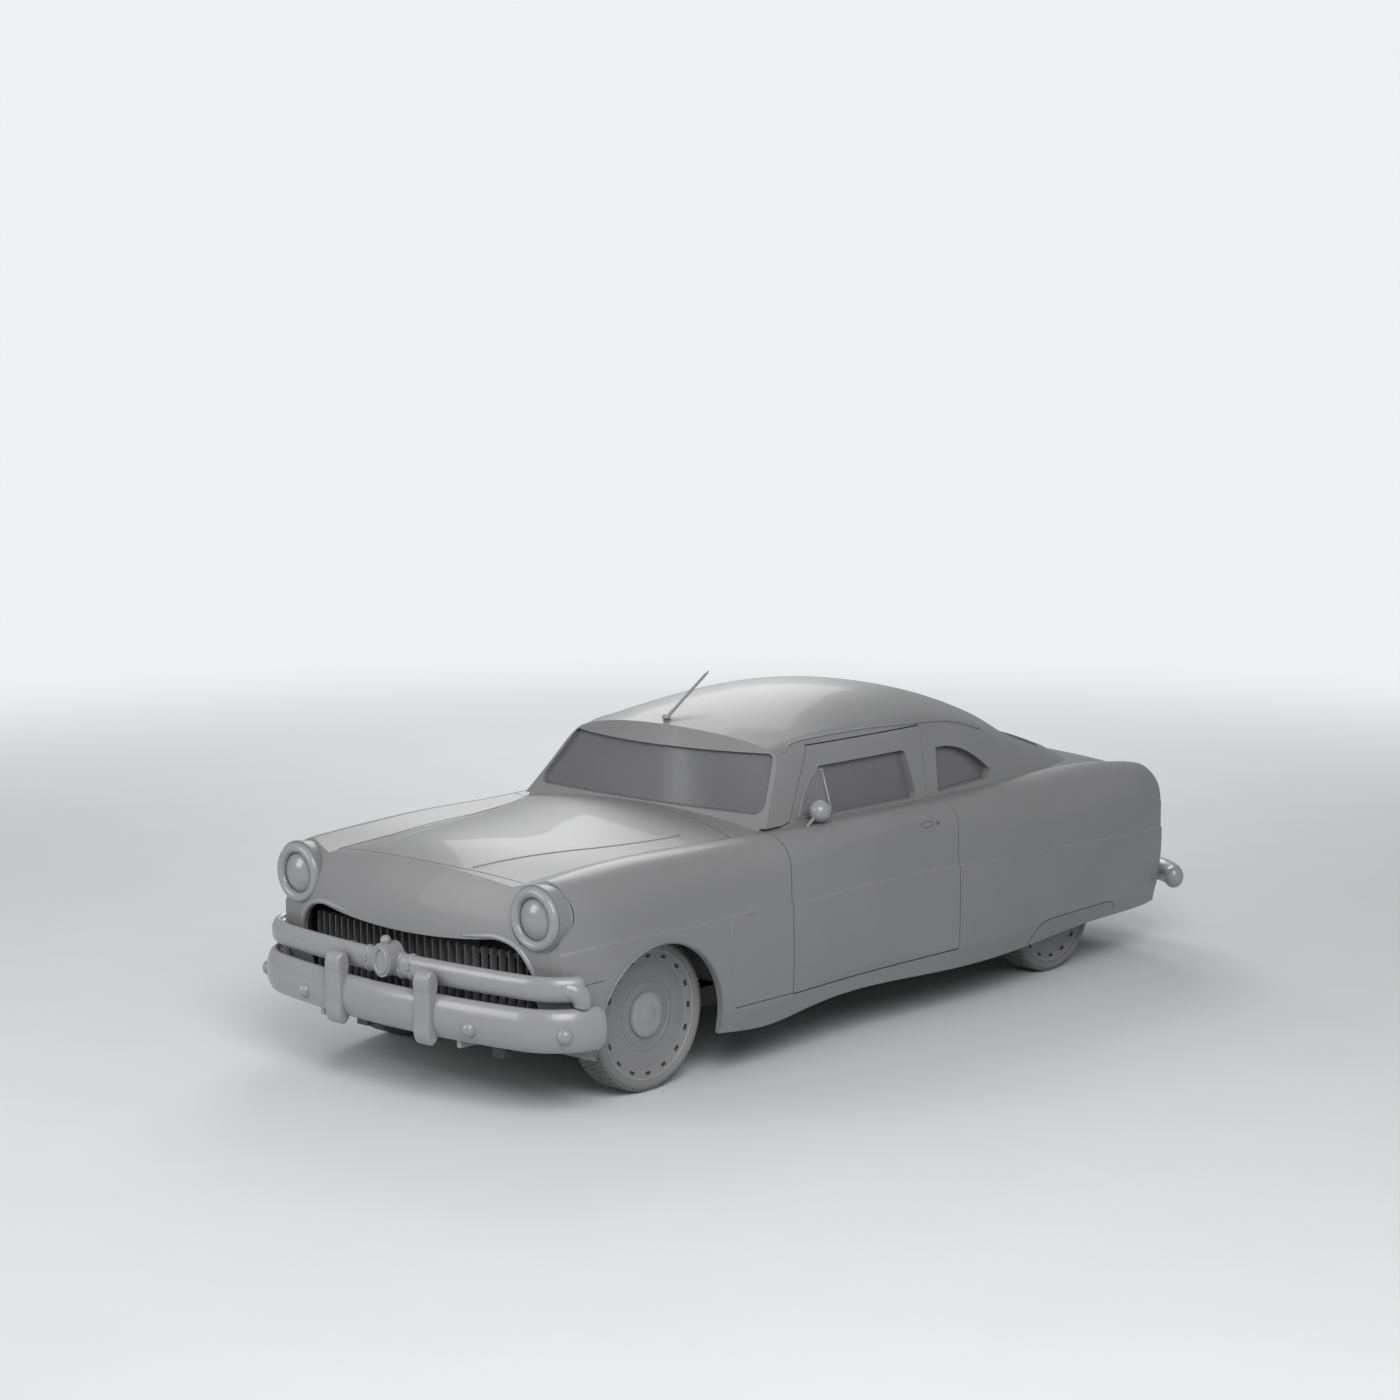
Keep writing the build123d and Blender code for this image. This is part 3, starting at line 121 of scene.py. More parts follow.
# %% [markdown]
# Every finish starts from the same idea: a shader whose colour drifts a little over the surface, and
# a very fine bump, because real paint and rubber are never perfectly even. The noise reads Object
# coordinates, so it stays put on each piece, and plain numbers sit on the shader's own sockets.


# %% Finishes
def finish(name, colour, roughness, drift=0.08, grain=60.0, bump=0.02, metallic=0.0, coat=0.0, alpha=1.0):
    """A finish whose colour drifts over the surface, with a fine grain in its bump."""
    material = bpy.data.materials.new(name)
    material.use_nodes = True
    tree = material.node_tree
    shader = tree.nodes["Principled BSDF"]
    place = tree.nodes.new("ShaderNodeTexCoord")
    cloud = tree.nodes.new("ShaderNodeTexNoise")
    cloud.inputs["Scale"].default_value = 1.7
    cloud.inputs["Detail"].default_value = 6
    ramp = tree.nodes.new("ShaderNodeValToRGB")
    low = [c * (1 - drift) for c in colour]
    high = [min(1, c * (1 + drift)) for c in colour]
    ramp.color_ramp.elements[0].position = 0.3
    ramp.color_ramp.elements[0].color = (*low, 1)
    ramp.color_ramp.elements[1].position = 0.7
    ramp.color_ramp.elements[1].color = (*high, 1)
    fine = tree.nodes.new("ShaderNodeTexNoise")
    fine.inputs["Scale"].default_value = grain
    fine.inputs["Detail"].default_value = 3
    relief = tree.nodes.new("ShaderNodeBump")
    relief.inputs["Strength"].default_value = bump
    relief.inputs["Distance"].default_value = 0.01
    tree.links.new(place.outputs["Object"], cloud.inputs["Vector"])
    tree.links.new(place.outputs["Object"], fine.inputs["Vector"])
    tree.links.new(cloud.outputs["Fac"], ramp.inputs["Fac"])
    tree.links.new(ramp.outputs["Color"], shader.inputs["Base Color"])
    tree.links.new(fine.outputs["Fac"], relief.inputs["Height"])
    tree.links.new(relief.outputs["Normal"], shader.inputs["Normal"])
    shader.inputs["Roughness"].default_value = roughness
    shader.inputs["Metallic"].default_value = metallic
    shader.inputs["Coat Weight"].default_value = coat
    shader.inputs["Alpha"].default_value = alpha
    return material


body_paint = finish("body_paint", (0.195, 0.195, 0.197), 0.46, 0.05, 90, 0.015, coat=0.08)
bright_trim = finish("bright_trim", (0.25, 0.25, 0.255), 0.3, 0.04, 40, 0.01, coat=0.2)
# dark trim and rubber; on the handle plates and locks this dark is painted shade
dark_trim_and_painted_shade = finish("dark_trim_and_painted_shade", (0.1, 0.1, 0.1), 0.6, 0.1, 80, 0.05)
lamp_lens = finish("lamp_lens", (0.24, 0.24, 0.245), 0.22, 0.03, 30, 0.02, coat=0.3)
window_glass = finish("window_glass", (0.15, 0.15, 0.155), 0.2, 0.12, 12, 0.01, alpha=0.82)
vent_glass = finish("vent_glass", (0.16, 0.16, 0.165), 0.22, 0.1, 12, 0.01)
rubber = finish("rubber", (0.17, 0.17, 0.17), 0.68, 0.12, 220, 0.15)
wheel_paint = finish("wheel_paint", (0.19, 0.19, 0.192), 0.42, 0.06, 90, 0.02, coat=0.05)
chassis_coat = finish("chassis_coat", (0.085, 0.085, 0.085), 0.8, 0.25, 120, 0.3)
cast_iron = finish("cast_iron", (0.1, 0.1, 0.1), 0.75, 0.2, 260, 0.35)
cabin_trim = finish("cabin_trim", (0.14, 0.14, 0.14), 0.6, 0.1, 300, 0.1)
# near-black: painted shade in the wheel slots and behind the grille, and the real dark of seam lines
painted_shade_and_seam_dark = finish("painted_shade_and_seam_dark", (0.03, 0.03, 0.03), 0.85, 0.1, 50, 0.05)

FINISH_OF_SLOT = {
    "body": body_paint,
    "bright_metal": bright_trim,
    "dark_metal": dark_trim_and_painted_shade,
    "glass": window_glass,
    "lamp_glass": lamp_lens,
    "underbody": chassis_coat,
    "iron": cast_iron,
    "trim": cabin_trim,
    "seat": cabin_trim,
    "tyre": rubber,
    "wheel": wheel_paint,
}
for part in frame["record"]["subparts"]:
    node = nodes[part["node"]]
    if not node.material_slots:
        node.data.materials.append(None)
    for place in node.material_slots:
        place.material = FINISH_OF_SLOT[part["material_slot"]]
print("finishes:", len(FINISH_OF_SLOT))

# %% [markdown]
# Weave needs its own finish. Seat cloth is threads over and under each other, so two sets of fine
# waves across each other give the bump, and a little sheen catches light as fibres do.

# %% Seat cloth
seat_cloth = finish("seat_cloth", (0.19, 0.19, 0.19), 0.9, 0.12, 900, 0.2)
cloth_tree = seat_cloth.node_tree
cloth_place = cloth_tree.nodes["Texture Coordinate"]
cloth_bump = cloth_tree.nodes["Bump"]
threads = []
for direction in ("X", "Z"):
    wave = cloth_tree.nodes.new("ShaderNodeTexWave")
    wave.bands_direction = direction
    wave.inputs["Scale"].default_value = 90
    wave.inputs["Distortion"].default_value = 0.6
    cloth_tree.links.new(cloth_place.outputs["Object"], wave.inputs["Vector"])
    threads.append(wave)
cross = cloth_tree.nodes.new("ShaderNodeMath")
cross.operation = "MULTIPLY"
cloth_tree.links.new(threads[0].outputs["Fac"], cross.inputs[0])
cloth_tree.links.new(threads[1].outputs["Fac"], cross.inputs[1])
cloth_tree.links.new(cross.outputs[0], cloth_bump.inputs["Height"])
cloth_tree.nodes["Principled BSDF"].inputs["Sheen Weight"].default_value = 0.3
print("seat cloth nodes:", len(cloth_tree.nodes))

# %% [markdown]
# Small pieces are all made by a few helpers. A tube follows a list of points, a turned piece is a
# profile spun about the wheel's axle, and a probe finds where a straight line meets the panels, so
# that trim lies on the skin instead of near it.


# %% Helpers for pieces
def add_piece(name, mesh, material, body, smooth=True):
    """Makes an object of a mesh, with its finish, and lets it ride on a body."""
    mesh.materials.clear()
    mesh.materials.append(material)
    for face in mesh.polygons:
        face.use_smooth = smooth
    piece = bpy.data.objects.new(name, mesh)
    scene.collection.objects.link(piece)
    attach(piece, body)
    return piece


def plain_mesh(name, shape):
    """Turns a finished working shape into a mesh."""
    mesh = bpy.data.meshes.new(name)
    shape.to_mesh(mesh)
    shape.free()
    return mesh


def tube_rings(shape, points, radii, closed, sides):
    """Rings of vertices around the points of a line, square to it, with walls between them."""
    count = len(points)
    rings = []
    side = None
    for i, point in enumerate(points):
        before = points[i - 1] if closed or i else point
        after = points[(i + 1) % count] if closed or i < count - 1 else point
        ahead = (after - before).normalized()
        side = ahead.orthogonal() if side is None else side - ahead * side.dot(ahead)
        side.normalize()
        up = ahead.cross(side)
        ring = []
        for k in range(sides):
            angle = 2 * math.pi * k / sides
            outward = math.cos(angle) * side + math.sin(angle) * up
            ring.append(shape.verts.new(point + radii[i] * outward))
        rings.append(ring)
    for a, b in zip(rings, rings[1:] + rings[:1] if closed else rings[1:]):
        for k in range(sides):
            shape.faces.new((a[k], a[(k + 1) % sides], b[(k + 1) % sides], b[k]))
    return rings


def tube_mesh(name, points, radius, closed=False, sides=10):
    """A round tube through points, with flat ends unless it is closed."""
    points = [Vector(p) for p in points]
    shape = bmesh.new()
    rings = tube_rings(shape, points, [radius] * len(points), closed, sides)
    if not closed:
        shape.faces.new(list(reversed(rings[0])))
        shape.faces.new(rings[-1])
    bmesh.ops.recalc_face_normals(shape, faces=shape.faces)
    return plain_mesh(name, shape)


def turned_mesh(name, profile, centre, out, steps=96):
    """A closed profile of (radius, outward) points, spun about the axle through centre."""
    shape = bmesh.new()
    rings = []
    for k in range(steps):
        angle = 2 * math.pi * k / steps
        ring = []
        for radius, outward in profile:
            place = (out * outward, radius * math.sin(angle), radius * math.cos(angle))
            ring.append(shape.verts.new(Vector(centre) + Vector(place)))
        rings.append(ring)
    for a, b in zip(rings, rings[1:] + rings[:1]):
        for i in range(len(profile)):
            j = (i + 1) % len(profile)
            shape.faces.new((a[i], a[j], b[j], b[i]))
    bmesh.ops.remove_doubles(shape, verts=shape.verts, dist=1e-6)
    bmesh.ops.recalc_face_normals(shape, faces=shape.faces)
    return plain_mesh(name, shape)


def joined(name, meshes):
    """One mesh of several."""
    shape = bmesh.new()
    for mesh in meshes:
        shape.from_mesh(mesh)
    return plain_mesh(name, shape)


def panels_tree(*names):
    """One search tree over the skins of some CAD nodes."""
    points, faces = [], []
    for name in names:
        mesh = nodes[name].data
        start = len(points)
        points += [v.co.copy() for v in mesh.vertices]
        faces += [[start + i for i in face.vertices] for face in mesh.polygons]
    return BVHTree.FromPolygons(points, faces)


def probe(tree, start, direction, lift=0.0):
    """Where a line from start meets the skin, lifted off along the skin's normal; None if it misses."""
    hit, normal, _, _ = tree.ray_cast(Vector(start), Vector(direction))
    if hit is None:
        return None
    if normal.dot(Vector(direction)) > 0:
        normal = -normal
    return hit + normal * lift


print("helpers ready")

# %% [markdown]
# The wheels are dished steel discs with a raised cap, and a ring of small slots near the rim that lets
# air reach the brakes. Sixteen equal slots on a circle are a rule, so Geometry Nodes set them: a
# circle of points, a near-black block on each, turned to follow the circle, all made real. The blocks
# are painted shade: they stand in for the open slots, whose dark is the shadow inside them.

# %% Slots around the wheel discs
AXLES = {  # wheel: across, along, outward sign
    "wheel_front_left": (0.747, -1.708, 1),
    "wheel_front_right": (-0.747, -1.708, -1),
    "wheel_rear_left": (0.709, 1.385, 1),
    "wheel_rear_right": (-0.709, 1.385, -1),
}
AXLE_HEIGHT = 0.342
SLOT_RING = 0.262
SLOT_COUNT = 16
SLOT_SIZE = (0.013, 0.026, 0.006)
SLOT_OUT = 0.0655


def instance_tree(name, inputs, build):
    """A geometry tree with named inputs; build adds its nodes and returns the last geometry socket."""
    tree = bpy.data.node_groups.new(name, "GeometryNodeTree")
    tree.interface.new_socket(name="Geometry", in_out="OUTPUT", socket_type="NodeSocketGeometry")
    for label, kind in inputs:
        tree.interface.new_socket(name=label, in_out="INPUT", socket_type=kind)
    entry = tree.nodes.new("NodeGroupInput")
    leave = tree.nodes.new("NodeGroupOutput")
    last = build(tree, entry)
    real = tree.nodes.new("GeometryNodeRealizeInstances")
    paint = tree.nodes.new("GeometryNodeSetMaterial")
    tree.links.new(last, real.inputs[0])
    tree.links.new(real.outputs[0], paint.inputs["Geometry"])
    tree.links.new(entry.outputs["Material"], paint.inputs["Material"])
    tree.links.new(paint.outputs["Geometry"], leave.inputs[0])
    return tree


def grown_mesh(name, tree, values):
    """Runs a geometry tree with the given inputs on an empty mesh and returns its plain mesh."""
    carrier = bpy.data.objects.new(name + "_carrier", bpy.data.meshes.new(name + "_carrier"))
    scene.collection.objects.link(carrier)
    modifier = carrier.modifiers.new("grow", "NODES")
    modifier.node_group = tree
    for item in tree.interface.items_tree:
        if item.item_type == "SOCKET" and item.in_out == "INPUT" and item.name in values:
            modifier[item.identifier] = values[item.name]
    bpy.context.view_layer.update()
    grown = bpy.data.meshes.new_from_object(carrier.evaluated_get(bpy.context.evaluated_depsgraph_get()))
    carrier.modifiers.clear()
    bpy.data.objects.remove(carrier)
    grown.name = name
    return grown


def ring_of_blocks(tree, entry):
    """Blocks on a circle about the Z axis, each turned with the circle."""
    line = tree.nodes.new("GeometryNodeMeshCircle")
    tree.links.new(entry.outputs["Count"], line.inputs["Vertices"])
    tree.links.new(entry.outputs["Radius"], line.inputs["Radius"])
    block = tree.nodes.new("GeometryNodeMeshCube")
    tree.links.new(entry.outputs["Block size"], block.inputs["Size"])
    place = tree.nodes.new("GeometryNodeInputPosition")
    turn = tree.nodes.new("FunctionNodeAlignRotationToVector")
    turn.axis = "X"
    tree.links.new(place.outputs[0], turn.inputs["Vector"])
    spread = tree.nodes.new("GeometryNodeInstanceOnPoints")
    tree.links.new(line.outputs["Mesh"], spread.inputs["Points"])
    tree.links.new(block.outputs["Mesh"], spread.inputs["Instance"])
    tree.links.new(turn.outputs[0], spread.inputs["Rotation"])
    return spread.outputs["Instances"]


RING_INPUTS = [
    ("Count", "NodeSocketInt"),
    ("Radius", "NodeSocketFloat"),
    ("Block size", "NodeSocketVector"),
    ("Material", "NodeSocketMaterial"),
]
ring_tree = instance_tree("ring_of_blocks", RING_INPUTS, ring_of_blocks)


def ring_mesh(name, count, radius, size, material):
    """A ring of blocks about Z, grown from the tree."""
    values = {"Count": count, "Radius": radius, "Block size": size, "Material": material}
    return grown_mesh(name, ring_tree, values)


# painted shade: near-black blocks stand in for the shadow inside the open slots
slot_ring = ring_mesh("slot_ring", SLOT_COUNT, SLOT_RING, SLOT_SIZE, painted_shade_and_seam_dark)
print("slot ring faces:", len(slot_ring.polygons))


def set_on_axle(mesh, name, wheel, outward):
    """A copy of a ring made about Z, stood up on a wheel's axle at outward from the wheel's middle."""
    x, y, out = AXLES[wheel]
    copy = mesh.copy()
    copy.name = name
    upright = Matrix.Rotation(out * math.pi / 2, 4, "Y")
    copy.transform(Matrix.Translation((x + out * outward, y, AXLE_HEIGHT)) @ upright)
    return copy


for wheel in AXLES:
    name = wheel + "_slots"
    ring = set_on_axle(slot_ring, name, wheel, SLOT_OUT)
    # painted shade: the dark slot blocks stand for the shadow inside the holes
    add_piece(name, ring, painted_shade_and_seam_dark, wheel, False)

# %% [markdown]
# The cap is a pressed dome that snaps onto the disc. Its middle is a plain raised circle. A profile
# of radius and outward distance, spun about the axle, gives the dome, its shoulder and the ring that
# the disc is stamped with around it.

# %% Caps and pressed rings
CAP_PROFILE = [
    (0.0, 0.073), (0.034, 0.0745), (0.038, 0.0725), (0.06, 0.0722), (0.085, 0.0705), (0.097, 0.0668),
    (0.103, 0.0612), (0.104, 0.0555), (0.0985, 0.055), (0.0, 0.06),
]
BEAD_PROFILE = [
    (0.146, 0.0500), (0.151, 0.0515), (0.157, 0.0520), (0.163, 0.0520), (0.169, 0.0512), (0.167, 0.0480),
    (0.148, 0.0470),
]
RIM_PROFILE = [
    (0.2795, 0.070), (0.2815, 0.0735), (0.2855, 0.0755), (0.29, 0.0752), (0.2925, 0.0722), (0.29, 0.069),
    (0.283, 0.0685),
]
WHEEL_TRIM = [  # ending of the name, profile, finish, slot
    ("_cap", CAP_PROFILE, bright_trim, "bright_metal"),
    ("_bead", BEAD_PROFILE, wheel_paint, "wheel"),
    ("_rim_edge", RIM_PROFILE, bright_trim, "bright_metal"),
]
for wheel, (x, y, out) in AXLES.items():
    for ending, profile, material, slot in WHEEL_TRIM:
        name = wheel + ending
        add_piece(name, turned_mesh(name, profile, (x, y, AXLE_HEIGHT), out), material, wheel)
print("caps:", len(AXLES))

# %% [markdown]
# Road tread is moulded rubber: ribs around the tyre, cut into short blocks, with more blocks at the
# shoulders. The same ring tree sets the blocks in rows. Each row is turned by half a block
# against its neighbour, as moulds do to keep a tyre quiet. The blocks need real grooves between them,
# so the plain tyre is turned again with its crown lowered, and the blocks bring it back to full size.

# %% Tyre tread
TREAD_ROWS = (-0.0475, -0.024, 0.0, 0.024, 0.0475)
BLOCK_COUNT = 84
TREAD_BLOCK = (0.010, 0.0215, 0.0195)
TREAD_RADIUS = 0.3369
SHOULDER_BLOCK = (0.0085, 0.017, 0.0165)
SHOULDER_RADIUS = 0.3325
SHOULDER_PLACE = 0.0655
SHOULDER_TURN = 0.25
tread_ring = ring_mesh("tread_ring", BLOCK_COUNT, TREAD_RADIUS, TREAD_BLOCK, rubber)
shoulder_ring = ring_mesh("shoulder_ring", BLOCK_COUNT, SHOULDER_RADIUS, SHOULDER_BLOCK, rubber)


def turned_ring(ring, share, place):
    """A copy of a ring, turned by a share of one block's pitch and moved along its axis."""
    copy = ring.copy()
    pitch = 2 * math.pi / BLOCK_COUNT
    copy.transform(Matrix.Translation((0, 0, place)) @ Matrix.Rotation(share * pitch, 4, "Z"))
    return copy


rows = [turned_ring(tread_ring, 0.5 * (i % 2), place) for i, place in enumerate(TREAD_ROWS)]
rows += [turned_ring(shoulder_ring, SHOULDER_TURN, side * SHOULDER_PLACE) for side in (-1, 1)]
tread = joined("tread", rows)


def arc_through(a, b, c, count):
    """Points on the circle through three (radius, outward) points, from a to c."""
    (ax, ay), (bx, by), (cx, cy) = a, b, c
    d = 2 * (ax * (by - cy) + bx * (cy - ay) + cx * (ay - by))
    aa, bb, cc = ax * ax + ay * ay, bx * bx + by * by, cx * cx + cy * cy
    mx = (aa * (by - cy) + bb * (cy - ay) + cc * (ay - by)) / d
    my = (aa * (cx - bx) + bb * (ax - cx) + cc * (bx - ax)) / d
    radius = math.hypot(ax - mx, ay - my)
    start, end = math.atan2(ay - my, ax - mx), math.atan2(cy - my, cx - mx)
    angles = [start + (end - start) * i / (count - 1) for i in range(count)]
    return [(mx + radius * math.cos(angle), my + radius * math.sin(angle)) for angle in angles]


# Places on the carcass as (radius, outward from the middle of the tyre).
WALL_FOOT = (0.2884, 0.0757)
WALL_WIDEST = (0.3104, 0.0880)
WALL_TOP = (0.3320, 0.0686)
CROWN_EDGE = (0.3352, 0.0610)
WALL_STEPS = 13
CARCASS_TURNS = 144
half_profile = arc_through(WALL_FOOT, WALL_WIDEST, WALL_TOP, WALL_STEPS) + [CROWN_EDGE]
carcass_profile = half_profile + [(radius, -outward) for radius, outward in reversed(half_profile)]
for wheel, (x, y, out) in AXLES.items():
    name = wheel.replace("wheel", "tyre") + "_rubber"
    carcass = turned_mesh(name, carcass_profile, (x, y, AXLE_HEIGHT), out, CARCASS_TURNS)
    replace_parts(add_piece(name, carcass, rubber, wheel), wheel.replace("wheel", "tyre"))
    name = wheel.replace("wheel", "tread")
    add_piece(name, set_on_axle(tread, name, wheel, 0.0), rubber, wheel, False)
print("tread faces per tyre:", len(tread.polygons))

# %% [markdown]
# A raised ring on the side wall and a ring at the bead are moulded into every tyre. They are turned
# from small profiles, and they catch the light that shows the wall is round.

# %% Side wall rings
WALL_RINGS = ((0.2925, 0.0775), (0.303, 0.0852), (0.3215, 0.0835))
RING_SECTION = ((-0.0022, -0.003), (-0.001, 0.0009), (0.001, 0.0009), (0.0022, -0.003))
for wheel, (x, y, out) in AXLES.items():
    rings = []
    for radius, outward in WALL_RINGS:
        profile = [(radius + across, outward + up) for across, up in RING_SECTION]
        rings.append(turned_mesh("wall_ring", profile, (x, y, AXLE_HEIGHT), out))
    name = wheel.replace("wheel", "tyre") + "_rings"
    add_piece(name, joined(name, rings), rubber, wheel)
print("side wall rings:", len(WALL_RINGS))

# %% [markdown]
# Benches of this time are sprung and stuffed, then covered in cloth sewn in upright pleats. Each
# bench starts as a copy of its CAD solid, is remeshed evenly, held along the pleat lines, and blown up
# a little by cloth simulation between them. That gives crowned pleats that pull in at the seams.

# %% Padded benches
PLEAT_PITCH = 0.145
BENCH_SHRINK = 0.012
BENCH_VOXEL = 0.014
BENCH_SWELL = 0.016
HELD_SHARE = 0.6
CLOTH_FRAMES = 20
BENCH_HALVES = {"front_bench": 0.74, "rear_bench": 0.545}


def solid_copy(name, node):
    """A merged copy of a CAD node's mesh in a new object."""
    shape = bmesh.new()
    shape.from_mesh(nodes[node].data)
    bmesh.ops.remove_doubles(shape, verts=shape.verts, dist=1e-5)
    bmesh.ops.recalc_face_normals(shape, faces=shape.faces)
    copy = bpy.data.objects.new(name, plain_mesh(name, shape))
    scene.collection.objects.link(copy)
    return copy


def apply_modifiers(piece):
    """Replaces a piece's mesh with what its modifiers make of it."""
    bpy.context.view_layer.update()
    result = bpy.data.meshes.new_from_object(piece.evaluated_get(bpy.context.evaluated_depsgraph_get()))
    piece.modifiers.clear()
    piece.data = result


def pleat_distance(x, half):
    """How far x lies from the nearest pleat line of a bench of this half width."""
    count = max(2, round(2 * half / PLEAT_PITCH))
    pitch = 2 * half / count
    share = (x + half) / pitch
    return abs(share - round(share)) * pitch


for bench, half in BENCH_HALVES.items():
    pad = solid_copy(bench + "_padding", bench)
    remesh = pad.modifiers.new("even", "REMESH")
    remesh.mode = "VOXEL"
    remesh.voxel_size = BENCH_VOXEL
    apply_modifiers(pad)
    shrink = pad.modifiers.new("shrink", "DISPLACE")
    shrink.mid_level = 0
    shrink.strength = -BENCH_SHRINK
    apply_modifiers(pad)
    rest = [v.co.copy() for v in pad.data.vertices]
    held = pad.vertex_groups.new(name="pleats")
    for v in pad.data.vertices:
        if pleat_distance(v.co.x, half - BENCH_SHRINK) < BENCH_VOXEL * HELD_SHARE:
            held.add([v.index], 1.0, "REPLACE")
    cloth = pad.modifiers.new("cloth", "CLOTH")
    cloth.settings.use_pressure = True
    cloth.settings.uniform_pressure_force = 4
    cloth.settings.effector_weights.gravity = 0
    cloth.settings.quality = 4
    cloth.settings.vertex_group_mass = "pleats"
    cloth.collision_settings.use_collision = False
    cloth.point_cache.frame_start = 1
    cloth.point_cache.frame_end = CLOTH_FRAMES
    for step in range(1, CLOTH_FRAMES + 1):
        scene.frame_set(step)
    apply_modifiers(pad)
    scene.frame_set(1)
    for v, start in zip(pad.data.vertices, rest):
        move = v.co - start
        if move.length > BENCH_SWELL:
            v.co = start + move.normalized() * BENCH_SWELL
    soften = pad.modifiers.new("soften", "SMOOTH")
    soften.factor = 0.5
    soften.iterations = 2
    apply_modifiers(pad)
    finer = pad.modifiers.new("finer", "SUBSURF")
    finer.levels = 1
    finer.render_levels = 1
    apply_modifiers(pad)
    pad.vertex_groups.clear()
    pad.data.materials.clear()
    pad.data.materials.append(seat_cloth)
    for face in pad.data.polygons:
        face.use_smooth = True
    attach(pad, "shell")
    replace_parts(pad, bench)
    print(bench, "faces:", len(pad.data.polygons))

# %% [markdown]
# Window rubber shows as a dark line around every pane. It runs along the pane's rim, and the rim can
# be read from the glass itself: where two of its faces meet at a sharp angle, there is an edge. Those
# edges are chained into loops, and each loop becomes a thin tube.

# %% Rubber around the panes
SHARP = math.radians(38)
GASKET_RADIUS = 0.0055
DOOR_GASKET_RADIUS = 0.0035
SHORTEST_RIM = 0.25
RIM_STEP = 0.02


def rim_loops(node):
    """Chains a node's sharp edges into lists of points, each with whether it closes."""
    shape = bmesh.new()
    shape.from_mesh(nodes[node].data)
    bmesh.ops.remove_doubles(shape, verts=shape.verts, dist=2e-5)
    near = {}
    for edge in shape.edges:
        if len(edge.link_faces) == 2 and edge.calc_face_angle(0) > SHARP:
            a, b = edge.verts
            near.setdefault(a.index, []).append(b.index)
            near.setdefault(b.index, []).append(a.index)
    places = {v.index: v.co.copy() for v in shape.verts}
    shape.free()
    loops, seen = [], set()
    for start in near:
        if start in seen or len(near[start]) != 2:
            continue
        chain, here, before = [start], start, None
        closed = False
        while True:
            seen.add(here)
            onward = [n for n in near[here] if n != before]
            if len(near[here]) != 2 or not onward:
                break
            before, here = here, onward[0]
            if here == start:
                closed = True
                break
            if here in seen:
                break
            chain.append(here)
        points = [places[i] for i in chain]
        length = sum((b - a).length for a, b in zip(points, points[1:]))
        if length > SHORTEST_RIM:
            loops.append((points, closed))
    return loops


def evened(points, closed, step):
    """The same line with points at an even step."""
    line = points + [points[0]] if closed else points
    result, carry = [line[0]], 0.0
    for a, b in zip(line, line[1:]):
        run = (b - a).length
        while run > 0 and carry + run >= step:
            a = a + (b - a) * ((step - carry) / run)
            run = (b - a).length
            carry = 0.0
            result.append(a)
        carry += run
    if closed and (result[-1] - result[0]).length < step * 0.5:
        result.pop()
    return result


def gasket(name, node, body, radius):
    """Tubes along every rim of a pane's node, as one piece."""
    tubes = []
    for points, closed in rim_loops(node):
        line = evened(points, closed, RIM_STEP)
        if len(line) > 4:
            tubes.append(tube_mesh("rim", line, radius, closed, 6))
    if tubes:
        add_piece(name, joined(name, tubes), dark_trim_and_painted_shade, body)
    print(name, "rims:", len(tubes))


gasket("window_rubber", "fixed_glass", "shell", GASKET_RADIUS)
gasket("door_rubber_left", "door_glass_left", "door_left", DOOR_GASKET_RADIUS)
gasket("door_rubber_right", "door_glass_right", "door_right", DOOR_GASKET_RADIUS)

# %% [markdown]
# Some trim lies on the skin along a line that is easy to say as seen from one side: the drip rail
# above the doors, the lip of the front wheel arch, the crease of the hood. The line is given by points,
# each point is shot at the panels, and the tube through the hits hugs the sheet metal.

# %% Trim that lies on the skin
SIDES = {"left": 1, "right": -1}
BESIDE = 1.4  # across the car, outside its widest place, where side probes start
RUN_UP = 0.5  # how far before the line its probes start
CLOSEST = 0.004
FEWEST = 5
shell_skin = panels_tree("roof", "rear_body", "fender_left", "fender_right", "nose_panel", "cowl")
hood_skin = panels_tree("hood")
door_skin = {side: panels_tree("door_" + side) for side in SIDES}


def smooth_line(points, step=0.03):
    """A soft curve through a few points."""
    points = [Vector(p) for p in points]
    ends = [2 * points[0] - points[1]] + points + [2 * points[-1] - points[-2]]
    line = []
    for p0, p1, p2, p3 in zip(ends, ends[1:], ends[2:], ends[3:]):
        count = max(2, int((p2 - p1).length / step))
        for i in range(count):
            t = i / count
            bend = (2 * p0 - 5 * p1 + 4 * p2 - p3) * t * t
            twist = (3 * p1 - p0 - 3 * p2 + p3) * t**3
            line.append(0.5 * (2 * p1 + (p2 - p0) * t + bend + twist))
    return line + [points[-1]]


def laid_line(tree, points, direction, lift):
    """Shoots each point of a line at the skin along direction; points that miss are dropped."""
    hits = []
    for point in points:
        hit = probe(tree, Vector(point) - Vector(direction) * RUN_UP, direction, lift)
        if hit is not None and (not hits or (hit - hits[-1]).length > CLOSEST):
            hits.append(hit)
    return hits


def add_tube(name, points, radius, material, body, closed=False, sides=10):
    """A tube piece along points; a line that met hardly any skin is left out."""
    print(name, len(points), "points")
    if len(points) >= FEWEST:
        add_piece(name, tube_mesh(name, points, radius, closed, sides), material, body)


DRIP_LINE = [
    (0.66, -0.60, 1.352), (0.66, -0.477, 1.388), (0.65, -0.1, 1.398), (0.64, 0.279, 1.387),
    (0.62, 0.707, 1.358), (0.60, 1.0, 1.285),
]
DRIP_RADIUS = 0.006
for side, sign in SIDES.items():
    line = smooth_line([(sign * x, y, z) for x, y, z in DRIP_LINE])
    hits = laid_line(shell_skin, line, (-sign, 0, 0), 0.002)
    add_tube("drip_rail_" + side, hits, DRIP_RADIUS, body_paint, "shell")

